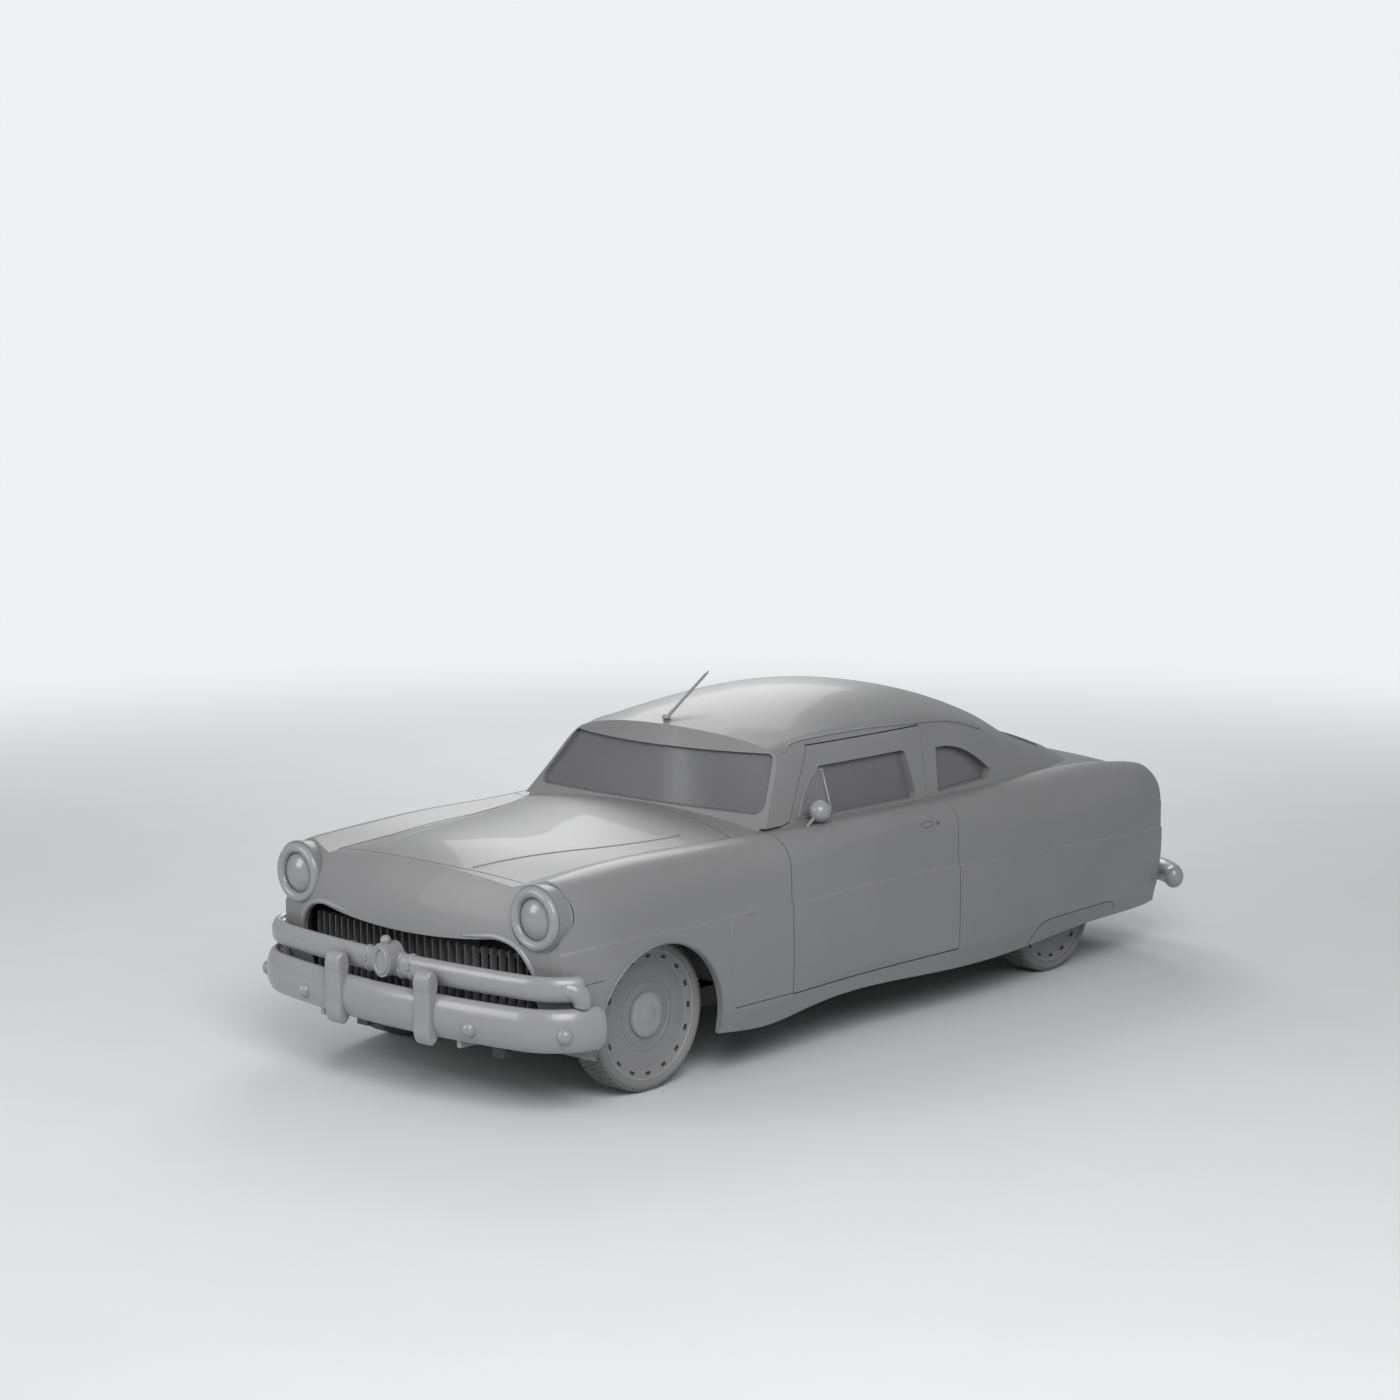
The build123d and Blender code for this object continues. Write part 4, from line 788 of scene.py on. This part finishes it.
ARCH_CENTRE = (-1.765, 0.31)
ARCH_RADIUS = 0.384
ARCH_START, ARCH_SWEEP, ARCH_STEPS = -8, 196, 90
ARCH_OUTSIDE = 0.8
LIP_RADIUS = 0.0055
for side, sign in SIDES.items():
    hits = []
    for step in range(ARCH_STEPS + 1):
        angle = math.radians(ARCH_START + ARCH_SWEEP * step / ARCH_STEPS)
        y = ARCH_CENTRE[0] + ARCH_RADIUS * math.cos(angle)
        z = ARCH_CENTRE[1] + ARCH_RADIUS * math.sin(angle)
        hit = probe(shell_skin, (sign * BESIDE, y, z), (-sign, 0, 0), 0.001)
        if hit is not None and abs(hit.x) > ARCH_OUTSIDE:
            hits.append(hit)
    add_tube("arch_lip_" + side, hits, LIP_RADIUS, body_paint, "shell")

HOOD_CREASE = [
    (0.31, -2.27, 1.02), (0.36, -2.1, 1.05), (0.42, -1.848, 1.077), (0.475, -1.64, 1.09),
    (0.52, -1.442, 1.097), (0.56, -1.221, 1.09),
]
CREASE_RADIUS = 0.007
for side, sign in SIDES.items():
    line = smooth_line([(sign * x, y, z) for x, y, z in HOOD_CREASE])
    hits = laid_line(hood_skin, line, (0, 0, -1), -0.5 * CREASE_RADIUS)
    add_tube("hood_crease_" + side, hits, CREASE_RADIUS, body_paint, "hood")

# %% [markdown]
# The door handles are missing in the photograph: what is left is the outline of the handle's plate
# and the lock below the belt line. The plate is a raised oval ring, and the lock a small
# turned button with a keyhole boss. Both are dark as painted shade: the ring for the shadow along the
# rim of the plate's shallow recess, the button for the shaded keyhole. Both are set on the door's skin by
# a probe.

# %% Handle plates and locks
PLATE_PLACE = (0.102, 0.957)
PLATE_HALF = (0.046, 0.013)
PLATE_STEPS = 48
PLATE_BEAD = 0.0018
LOCK_PLACE = (0.186, 0.953)
LOCK_PROFILE = [
    (0.0, -0.004), (0.0, 0.0045), (0.003, 0.0045), (0.0042, 0.0028), (0.0085, 0.0032), (0.0105, 0.0012),
    (0.0108, -0.004),
]
for side, sign in SIDES.items():
    door = "door_" + side
    ring = []
    for step in range(PLATE_STEPS):
        angle = 2 * math.pi * step / PLATE_STEPS
        y = PLATE_PLACE[0] + PLATE_HALF[0] * math.cos(angle)
        z = PLATE_PLACE[1] + PLATE_HALF[1] * math.sin(angle)
        hit = probe(door_skin[side], (sign * BESIDE, y, z), (-sign, 0, 0), 0.0004)
        if hit is not None:
            ring.append(hit)
    # painted shade: a dark ring for the shadow along the rim of the plate's recess
    add_tube("handle_plate_" + side, ring, PLATE_BEAD, dark_trim_and_painted_shade, door, True, 8)
    # painted shade: the lock button is dark for the shaded keyhole
    lock_hit = probe(door_skin[side], (sign * BESIDE, *LOCK_PLACE), (-sign, 0, 0))
    if lock_hit is not None:
        name = "door_lock_" + side
        lock = turned_mesh(name, LOCK_PROFILE, lock_hit, sign, 32)
        add_piece(name, lock, dark_trim_and_painted_shade, door)

# %% [markdown]
# Eyebrow mouldings frame the outer ends of the grille mouth: each starts thin under the nose, swells
# over the corner and runs down beside the opening. A tube whose radius changes along its line gives
# that swell, and it lies on the nose because each of its points is shot at the panels.


# %% Mouth mouldings
def tapered_mesh(name, points, radii, sides=12):
    """A round tube whose radius changes from point to point, closed with a pole at each end."""
    shape = bmesh.new()
    rings = tube_rings(shape, points, radii, False, sides)
    for ring, point in ((rings[0], points[0]), (rings[-1], points[-1])):
        pole = shape.verts.new(point)
        for k in range(sides):
            shape.faces.new((ring[k], ring[(k + 1) % sides], pole))
    bmesh.ops.recalc_face_normals(shape, faces=shape.faces)
    return plain_mesh(name, shape)


MOULDING_LINE = [
    (0.36, 0.742), (0.45, 0.752), (0.545, 0.760), (0.62, 0.748), (0.675, 0.722), (0.715, 0.678),
    (0.742, 0.625), (0.752, 0.575),
]
MOULDING_RADIUS = 0.0135
MOULDING_THIN = 0.25  # share of the full radius at both ends
AHEAD_OF_NOSE = -2.6
nose_skin = panels_tree("nose_panel", "fender_left", "fender_right")
for side, sign in SIDES.items():
    line = smooth_line([(sign * x, AHEAD_OF_NOSE, z) for x, z in MOULDING_LINE], 0.015)
    hits = laid_line(nose_skin, line, (0, 1, 0), -0.001)
    count = len(hits)
    print("mouth moulding", side, count, "points")
    swells = [min(1, 3.0 * i / count, 6.0 * (count - i) / count) for i in range(count)]
    radii = [MOULDING_RADIUS * (MOULDING_THIN + (1 - MOULDING_THIN) * swell) for swell in swells]
    if count >= FEWEST:
        name = "mouth_moulding_" + side
        add_piece(name, tapered_mesh(name, hits, radii), bright_trim, "shell")

# %% [markdown]
# Four round domed bolt heads show on the front bumper bar, two each side of the guards. A low dome with a
# flared foot, turned about the bar's own normal, sits on the bar where a probe says it is.

# %% Bumper bolts
BOLTS = [  # across, along, up, and the probe's way across and along
    (0.53, -2.517, 0.378, 0, 1),
    (0.957, -2.367, 0.392, -0.62, 0.78),
]
BOLT_PROFILE = [
    (0.0, 0.026), (0.012, 0.0245), (0.023, 0.019), (0.031, 0.0105), (0.035, 0.002), (0.0365, -0.008),
    (0.0, -0.008),
]
bumper_skin = panels_tree("front_bumper")
bolts = []
for sign in SIDES.values():
    for x, y, z, across, along in BOLTS:
        inward = Vector((sign * across, along, 0))
        hit, normal, _, _ = bumper_skin.ray_cast(Vector((sign * x, y, z)) - inward * 0.3, inward)
        if hit is None:
            continue
        bolt = turned_mesh("bolt", BOLT_PROFILE, (0, 0, 0), 1, 24)
        turn = normal.to_track_quat("X", "Z").to_matrix().to_4x4()
        bolt.transform(Matrix.Translation(hit) @ turn)
        bolts.append(bolt)
if bolts:
    add_piece("bumper_bolts", joined("bumper_bolts", bolts), bright_trim, "shell")
print("bumper bolts:", len(bolts))

# %% [markdown]
# The boss in the middle of the grille bar is a cast shield with a raised rim around a bare field, and
# split sleeves clamp the bar on each side of it. The rim is a closed tube laid on the boss, and each
# sleeve is an oval collar around the bar, both set by probes on the solid bar.

# %% Boss rim and sleeves
BOSS_MIDDLE = 0.60
BOSS_HALF = (0.038, 0.055)
BOSS_PINCH = 0.18
RIM_STEPS = 40
AHEAD_OF_BAR = -2.8
bar_skin = panels_tree("grille_bar")
rim = []
for step in range(RIM_STEPS):
    angle = 2 * math.pi * step / RIM_STEPS
    pinch = 1 - BOSS_PINCH * math.sin(angle)
    x = BOSS_HALF[0] * pinch * math.cos(angle)
    z = BOSS_MIDDLE + BOSS_HALF[1] * math.sin(angle)
    hit = probe(bar_skin, (x, AHEAD_OF_BAR, z), (0, 1, 0), 0.001)
    if hit is not None:
        rim.append(hit)
add_tube("boss_rim", rim, 0.008, bright_trim, "shell", True)

COLLARS = (-0.138, -0.075, 0.075, 0.138)
COLLAR_STEPS = 36
COLLAR_BEAD = 0.0085
BAR_MIDDLE = (-2.5, 0.577)
BAR_REACH = 0.14
collars = []
for x in COLLARS:
    middle = Vector((x, *BAR_MIDDLE))
    ring = []
    for step in range(COLLAR_STEPS):
        angle = 2 * math.pi * step / COLLAR_STEPS
        outward = Vector((0, math.cos(angle), math.sin(angle)))
        hit = probe(bar_skin, middle + outward * 0.3, -outward)
        if hit is not None and (hit - middle).length < BAR_REACH:
            ring.append(hit)
    if len(ring) > 0.8 * COLLAR_STEPS:
        collars.append(tube_mesh("collar", ring, COLLAR_BEAD, True))
if collars:
    add_piece("bar_sleeves", joined("bar_sleeves", collars), bright_trim, "shell")
print("collars:", len(collars))

# %% [markdown]
# Behind the fins sits a near-black sheet, so no daylight shows through the mouth: it is painted shade,
# standing where the mouth holds only shadow. A shallow dished sheet with level ribs and turned-back ends
# does that here: a grid bent to follow the nose, given a little thickness. It stands just behind the
# fins' rails and clear of the radiator.

# %% Painted-shade sheet behind the grille
SHADE_SHEET_HALF = 0.84
SHADE_SHEET_FLAT = 0.45
SHADE_SHEET_LOW = 0.38
SHADE_SHEET_HIGH = 0.80
SHADE_SHEET_Y = -2.228
SHADE_SHEET_TURN = 0.02
SHADE_SHEET_RIB = 0.015
SHADE_SHEET_COLUMNS = 32
SHADE_SHEET_ROWS = 12
shape = bmesh.new()
columns = []
for step in range(SHADE_SHEET_COLUMNS + 1):
    x = -SHADE_SHEET_HALF + 2 * SHADE_SHEET_HALF * step / SHADE_SHEET_COLUMNS
    back = SHADE_SHEET_TURN * max(0.0, (abs(x) - SHADE_SHEET_FLAT) / (SHADE_SHEET_HALF - SHADE_SHEET_FLAT)) ** 2
    column = []
    for k in range(SHADE_SHEET_ROWS + 1):
        z = SHADE_SHEET_LOW + (SHADE_SHEET_HIGH - SHADE_SHEET_LOW) * k / SHADE_SHEET_ROWS
        column.append(shape.verts.new((x, SHADE_SHEET_Y + back + SHADE_SHEET_RIB * (k % 2), z)))
    columns.append(column)
for a, b in zip(columns, columns[1:]):
    for k in range(SHADE_SHEET_ROWS):
        shape.faces.new((a[k], b[k], b[k + 1], a[k + 1]))
shade_sheet_mesh = plain_mesh("grille_painted_shade_sheet", shape)
# painted shade: a near-black sheet where the mouth holds only shadow
shade_sheet = add_piece("grille_painted_shade_sheet", shade_sheet_mesh, painted_shade_and_seam_dark, "shell", False)
wall = shade_sheet.modifiers.new("wall", "SOLIDIFY")
wall.thickness = 0.002
print("baffle faces:", len(shade_sheet_mesh.polygons))

# %% [markdown]
# Panel joints that aren't splits in the solids show as fine lines. The first is the joint of the gravel
# shield below each lamp. A thin dark thread sunk in the skin reads as that joint.

# %% Shield seams
SHIELD_SEAM = [(0.985, -2.13, 0.585), (0.975, -2.2, 0.58), (0.93, -2.29, 0.566), (0.86, -2.35, 0.556)]
SHIELD_CORNER_Y = -2.25
for side, sign in SIDES.items():
    line = smooth_line([(sign * x, y, z) for x, y, z in SHIELD_SEAM], 0.012)
    from_side = Vector((-sign, 0.25, 0)).normalized()
    from_front = Vector((-sign * 0.6, 0.8, 0))
    hits = []
    for point in line:
        inward = from_front if point.y < SHIELD_CORNER_Y else from_side
        hit = probe(shell_skin, point - inward * 0.4, inward, -0.0008)
        if hit is not None:
            hits.append(hit)
    add_tube("shield_seam_" + side, hits, 0.002, painted_shade_and_seam_dark, "shell", False, 6)

# %% [markdown]
# The door window has a hinged vent pane in front, in its own slim frame with an upright bar at its back.
# It stands in the outer plane of the door frame. That plane leans inwards evenly, so the pane is a
# grid whose rows run from the slanted front edge to the bar, and the frame is a tube around it.

# %% Vent panes
VENT_FRONT = [(1.064, -0.640), (1.128, -0.590), (1.185, -0.537), (1.232, -0.478), (1.256, -0.432)]
VENT_BAR = [(1.064, -0.398), (1.256, -0.385)]
FRAME_FOOT = (0.769, 1.055)
FRAME_LEAN = 0.3744
VENT_PROUD = 0.0028
VENT_COLUMNS = 8
VENT_ROWS = 14
BAR_HEIGHTS = (1.055, 1.12, 1.19, 1.262)


def at_height(line, z):
    """The place along the car of a (height, place) line at height z."""
    for (z0, y0), (z1, y1) in zip(line, line[1:]):
        if z <= z1:
            return y0 + (y1 - y0) * (z - z0) / (z1 - z0)
    return line[-1][1]


def frame_x(z):
    """How far out the outer plane of the door frame lies at height z."""
    return FRAME_FOOT[0] - (z - FRAME_FOOT[1]) * FRAME_LEAN + VENT_PROUD


for side, sign in SIDES.items():
    shape = bmesh.new()
    rows = []
    for step in range(VENT_ROWS + 1):
        z = VENT_FRONT[0][0] + (VENT_FRONT[-1][0] - VENT_FRONT[0][0]) * step / VENT_ROWS
        front, rear = at_height(VENT_FRONT, z), at_height(VENT_BAR, z)
        ys = [front + (rear - front) * k / VENT_COLUMNS for k in range(VENT_COLUMNS + 1)]
        rows.append([shape.verts.new((sign * frame_x(z), y, z)) for y in ys])
    for a, b in zip(rows, rows[1:]):
        for k in range(VENT_COLUMNS):
            corners = (a[k], a[k + 1], b[k + 1], b[k])
            shape.faces.new(corners if sign > 0 else tuple(reversed(corners)))
    rows = [[v.co.copy() for v in row] for row in rows]
    border = [row[0] for row in rows] + rows[-1][1:-1]
    border += [row[-1] for row in reversed(rows)] + rows[0][-2:0:-1]
    name = "vent_pane_" + side
    pane = add_piece(name, plain_mesh(name, shape), vent_glass, "door_" + side)
    wall = pane.modifiers.new("wall", "SOLIDIFY")
    wall.thickness = 0.0035
    name = "vent_frame_" + side
    bar = [Vector((sign * frame_x(z), at_height(VENT_BAR, z), z)) for z in BAR_HEIGHTS]
    tubes = [tube_mesh("border", border, 0.004, True, 8), tube_mesh("bar", bar, 0.0062)]
    add_piece(name, joined(name, tubes), bright_trim, "door_" + side)
print("vent panes:", len(SIDES))

# %% [markdown]
# The body side has a raised lower panel. Its front end turns down behind the wheel arch, and a seam
# parts it from the rocker. Another seam runs around the wheel skirt. The raised edge is a soft bead in
# the body's finish, and each seam is a dark thread.

# %% Side panel edge and side seams
PANEL_EDGE = [
    (-0.925, 0.7395), (-1.134, 0.7385), (-1.27, 0.731), (-1.318, 0.712), (-1.334, 0.66), (-1.334, 0.56),
    (-1.326, 0.44), (-1.306, 0.332),
]
ROCKER_SEAM = [(-1.303, 0.3215), (-1.2, 0.323), (-1.05, 0.3235), (-0.922, 0.3235)]
SKIRT_SEAM = [
    (0.932, 0.240), (0.955, 0.268), (0.985, 0.300), (1.03, 0.328), (1.10, 0.340), (1.30, 0.3425),
    (1.50, 0.3425), (1.66, 0.340), (1.715, 0.322), (1.736, 0.290),
]
EDGE_BEAD = 0.0042
SEAM_THREAD = 0.0024
OUTER_SKIN = 0.7
quarter_skin = panels_tree("rear_body", "fender_skirts")


def side_hits(tree, points, sign, lift):
    """Points of a (y, z) line laid on a body side."""
    line = smooth_line([(0, y, z) for y, z in points], 0.012)
    hits = []
    for point in line:
        hit = probe(tree, (sign * BESIDE, point.y, point.z), (-sign, 0, 0), lift)
        if hit is not None and abs(hit.x) > OUTER_SKIN:
            hits.append(hit)
    return hits


for side, sign in SIDES.items():
    fender = panels_tree("fender_" + side)
    edge = side_hits(fender, PANEL_EDGE, sign, -0.0015)
    add_tube("panel_edge_" + side, edge, EDGE_BEAD, body_paint, "shell", False, 8)
    rocker = side_hits(fender, ROCKER_SEAM, sign, -0.0008)
    skirt = side_hits(quarter_skin, SKIRT_SEAM, sign, -0.0008)
    for name, seam in (("rocker_seam_" + side, rocker), ("skirt_seam_" + side, skirt)):
        add_tube(name, seam, SEAM_THREAD, painted_shade_and_seam_dark, "shell", False, 6)

# %% [markdown]
# The roof antenna is a stout tapered mast on a ball foot. The CAD holds it as a slim rod, so the mast
# is made again with its real stoutness: a tapered tube that ends in a rounded tip, on a turned foot.

# %% Antenna
MAST_FOOT = Vector((0.0, -0.700, 1.466))
MAST_TIP = Vector((0.0, -0.402, 1.6600))
MAST_STEPS = 20
MAST_RADIUS = 0.0080
MAST_TAPER = 0.0015
MAST_ENDS = (0.004, 0.0035)
FOOT_PROFILE = [
    (0.0, -0.008), (0.017, -0.006), (0.0215, 0.001), (0.020, 0.009), (0.014, 0.016), (0.0085, 0.019),
    (0.0, 0.019),
]
mast_line = [MAST_FOOT + (MAST_TIP - MAST_FOOT) * (i / MAST_STEPS) for i in range(MAST_STEPS + 1)]
mast_radii = [MAST_RADIUS - MAST_TAPER * i / MAST_STEPS for i in range(MAST_STEPS + 1)]
mast_radii[0], mast_radii[-1] = MAST_ENDS
foot = turned_mesh("antenna_foot", FOOT_PROFILE, (0, 0, 0), 1, 32)
foot.transform(Matrix.Translation(MAST_FOOT) @ Matrix.Rotation(-math.pi / 2, 4, "Y"))
mast = joined("antenna_mast", [tapered_mesh("mast", mast_line, mast_radii), foot])
mast_piece = add_piece("antenna_mast", mast, bright_trim, "shell")
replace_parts(mast_piece, "antenna")
print("antenna mast faces:", len(mast.polygons))

# %% [markdown]
# At each end the grille bar turns down and closes against the bumper, which gives the front its
# looped corner. A stout tube from the bar's end down to the bumper's top, swollen at the bend,
# makes that corner as one form with the bar.

# %% Turned-down bar ends
BAR_END = [
    (0.86, -2.352, 0.583), (0.905, -2.322, 0.580), (0.938, -2.294, 0.570), (0.956, -2.276, 0.548),
    (0.960, -2.270, 0.522), (0.957, -2.272, 0.500),
]
BAR_END_RADII = (0.030, 0.042, 0.047, 0.047, 0.044, 0.036)
for side, sign in SIDES.items():
    line = smooth_line([(sign * x, y, z) for x, y, z in BAR_END], 0.006)
    radii = []
    for i in range(len(line)):
        place = i / (len(line) - 1) * (len(BAR_END_RADII) - 1)
        k = min(int(place), len(BAR_END_RADII) - 2)
        radii.append(BAR_END_RADII[k] + (BAR_END_RADII[k + 1] - BAR_END_RADII[k]) * (place - k))
    name = "bar_end_" + side
    add_piece(name, tapered_mesh(name, line, radii, 20), bright_trim, "shell")
print("bar ends:", len(SIDES))

# %% [markdown]
# The floor is a plain pale plane that catches the car's shadow. Far from the car it fades, for the
# camera only, into the backdrop's tone, so no horizon cuts the picture.

# %% Floor
FLOOR_HALF = 60
FADE_START = 5.0
FADE_END = 14.0
shape = bmesh.new()
bmesh.ops.create_grid(shape, x_segments=2, y_segments=2, size=FLOOR_HALF)
floor_mesh = plain_mesh("floor", shape)
floor = bpy.data.objects.new("floor", floor_mesh)
scene.collection.objects.link(floor)
floor_finish = finish("studio_floor", (0.62, 0.63, 0.64), 0.9, 0.01, 3, 0.0)
floor_tree = floor_finish.node_tree
floor_place = floor_tree.nodes["Texture Coordinate"]
reach = floor_tree.nodes.new("ShaderNodeVectorMath")
reach.operation = "LENGTH"
fade = floor_tree.nodes.new("ShaderNodeMapRange")
fade.interpolation_type = "SMOOTHSTEP"
fade.inputs["From Min"].default_value = FADE_START
fade.inputs["From Max"].default_value = FADE_END
seen = floor_tree.nodes.new("ShaderNodeLightPath")
share = floor_tree.nodes.new("ShaderNodeMath")
share.operation = "MULTIPLY"
glow = floor_tree.nodes.new("ShaderNodeEmission")
glow.inputs["Color"].default_value = PALE
glow.inputs["Strength"].default_value = 1.0
blend = floor_tree.nodes.new("ShaderNodeMixShader")
floor_tree.links.new(floor_place.outputs["Object"], reach.inputs[0])
floor_tree.links.new(reach.outputs["Value"], fade.inputs["Value"])
floor_tree.links.new(fade.outputs["Result"], share.inputs[0])
floor_tree.links.new(seen.outputs["Is Camera Ray"], share.inputs[1])
floor_tree.links.new(share.outputs[0], blend.inputs["Fac"])
floor_tree.links.new(floor_tree.nodes["Principled BSDF"].outputs[0], blend.inputs[1])
floor_tree.links.new(glow.outputs[0], blend.inputs[2])
floor_tree.links.new(blend.outputs[0], floor_tree.nodes["Material Output"].inputs["Surface"])
floor_mesh.materials.append(floor_finish)
print("floor ready")
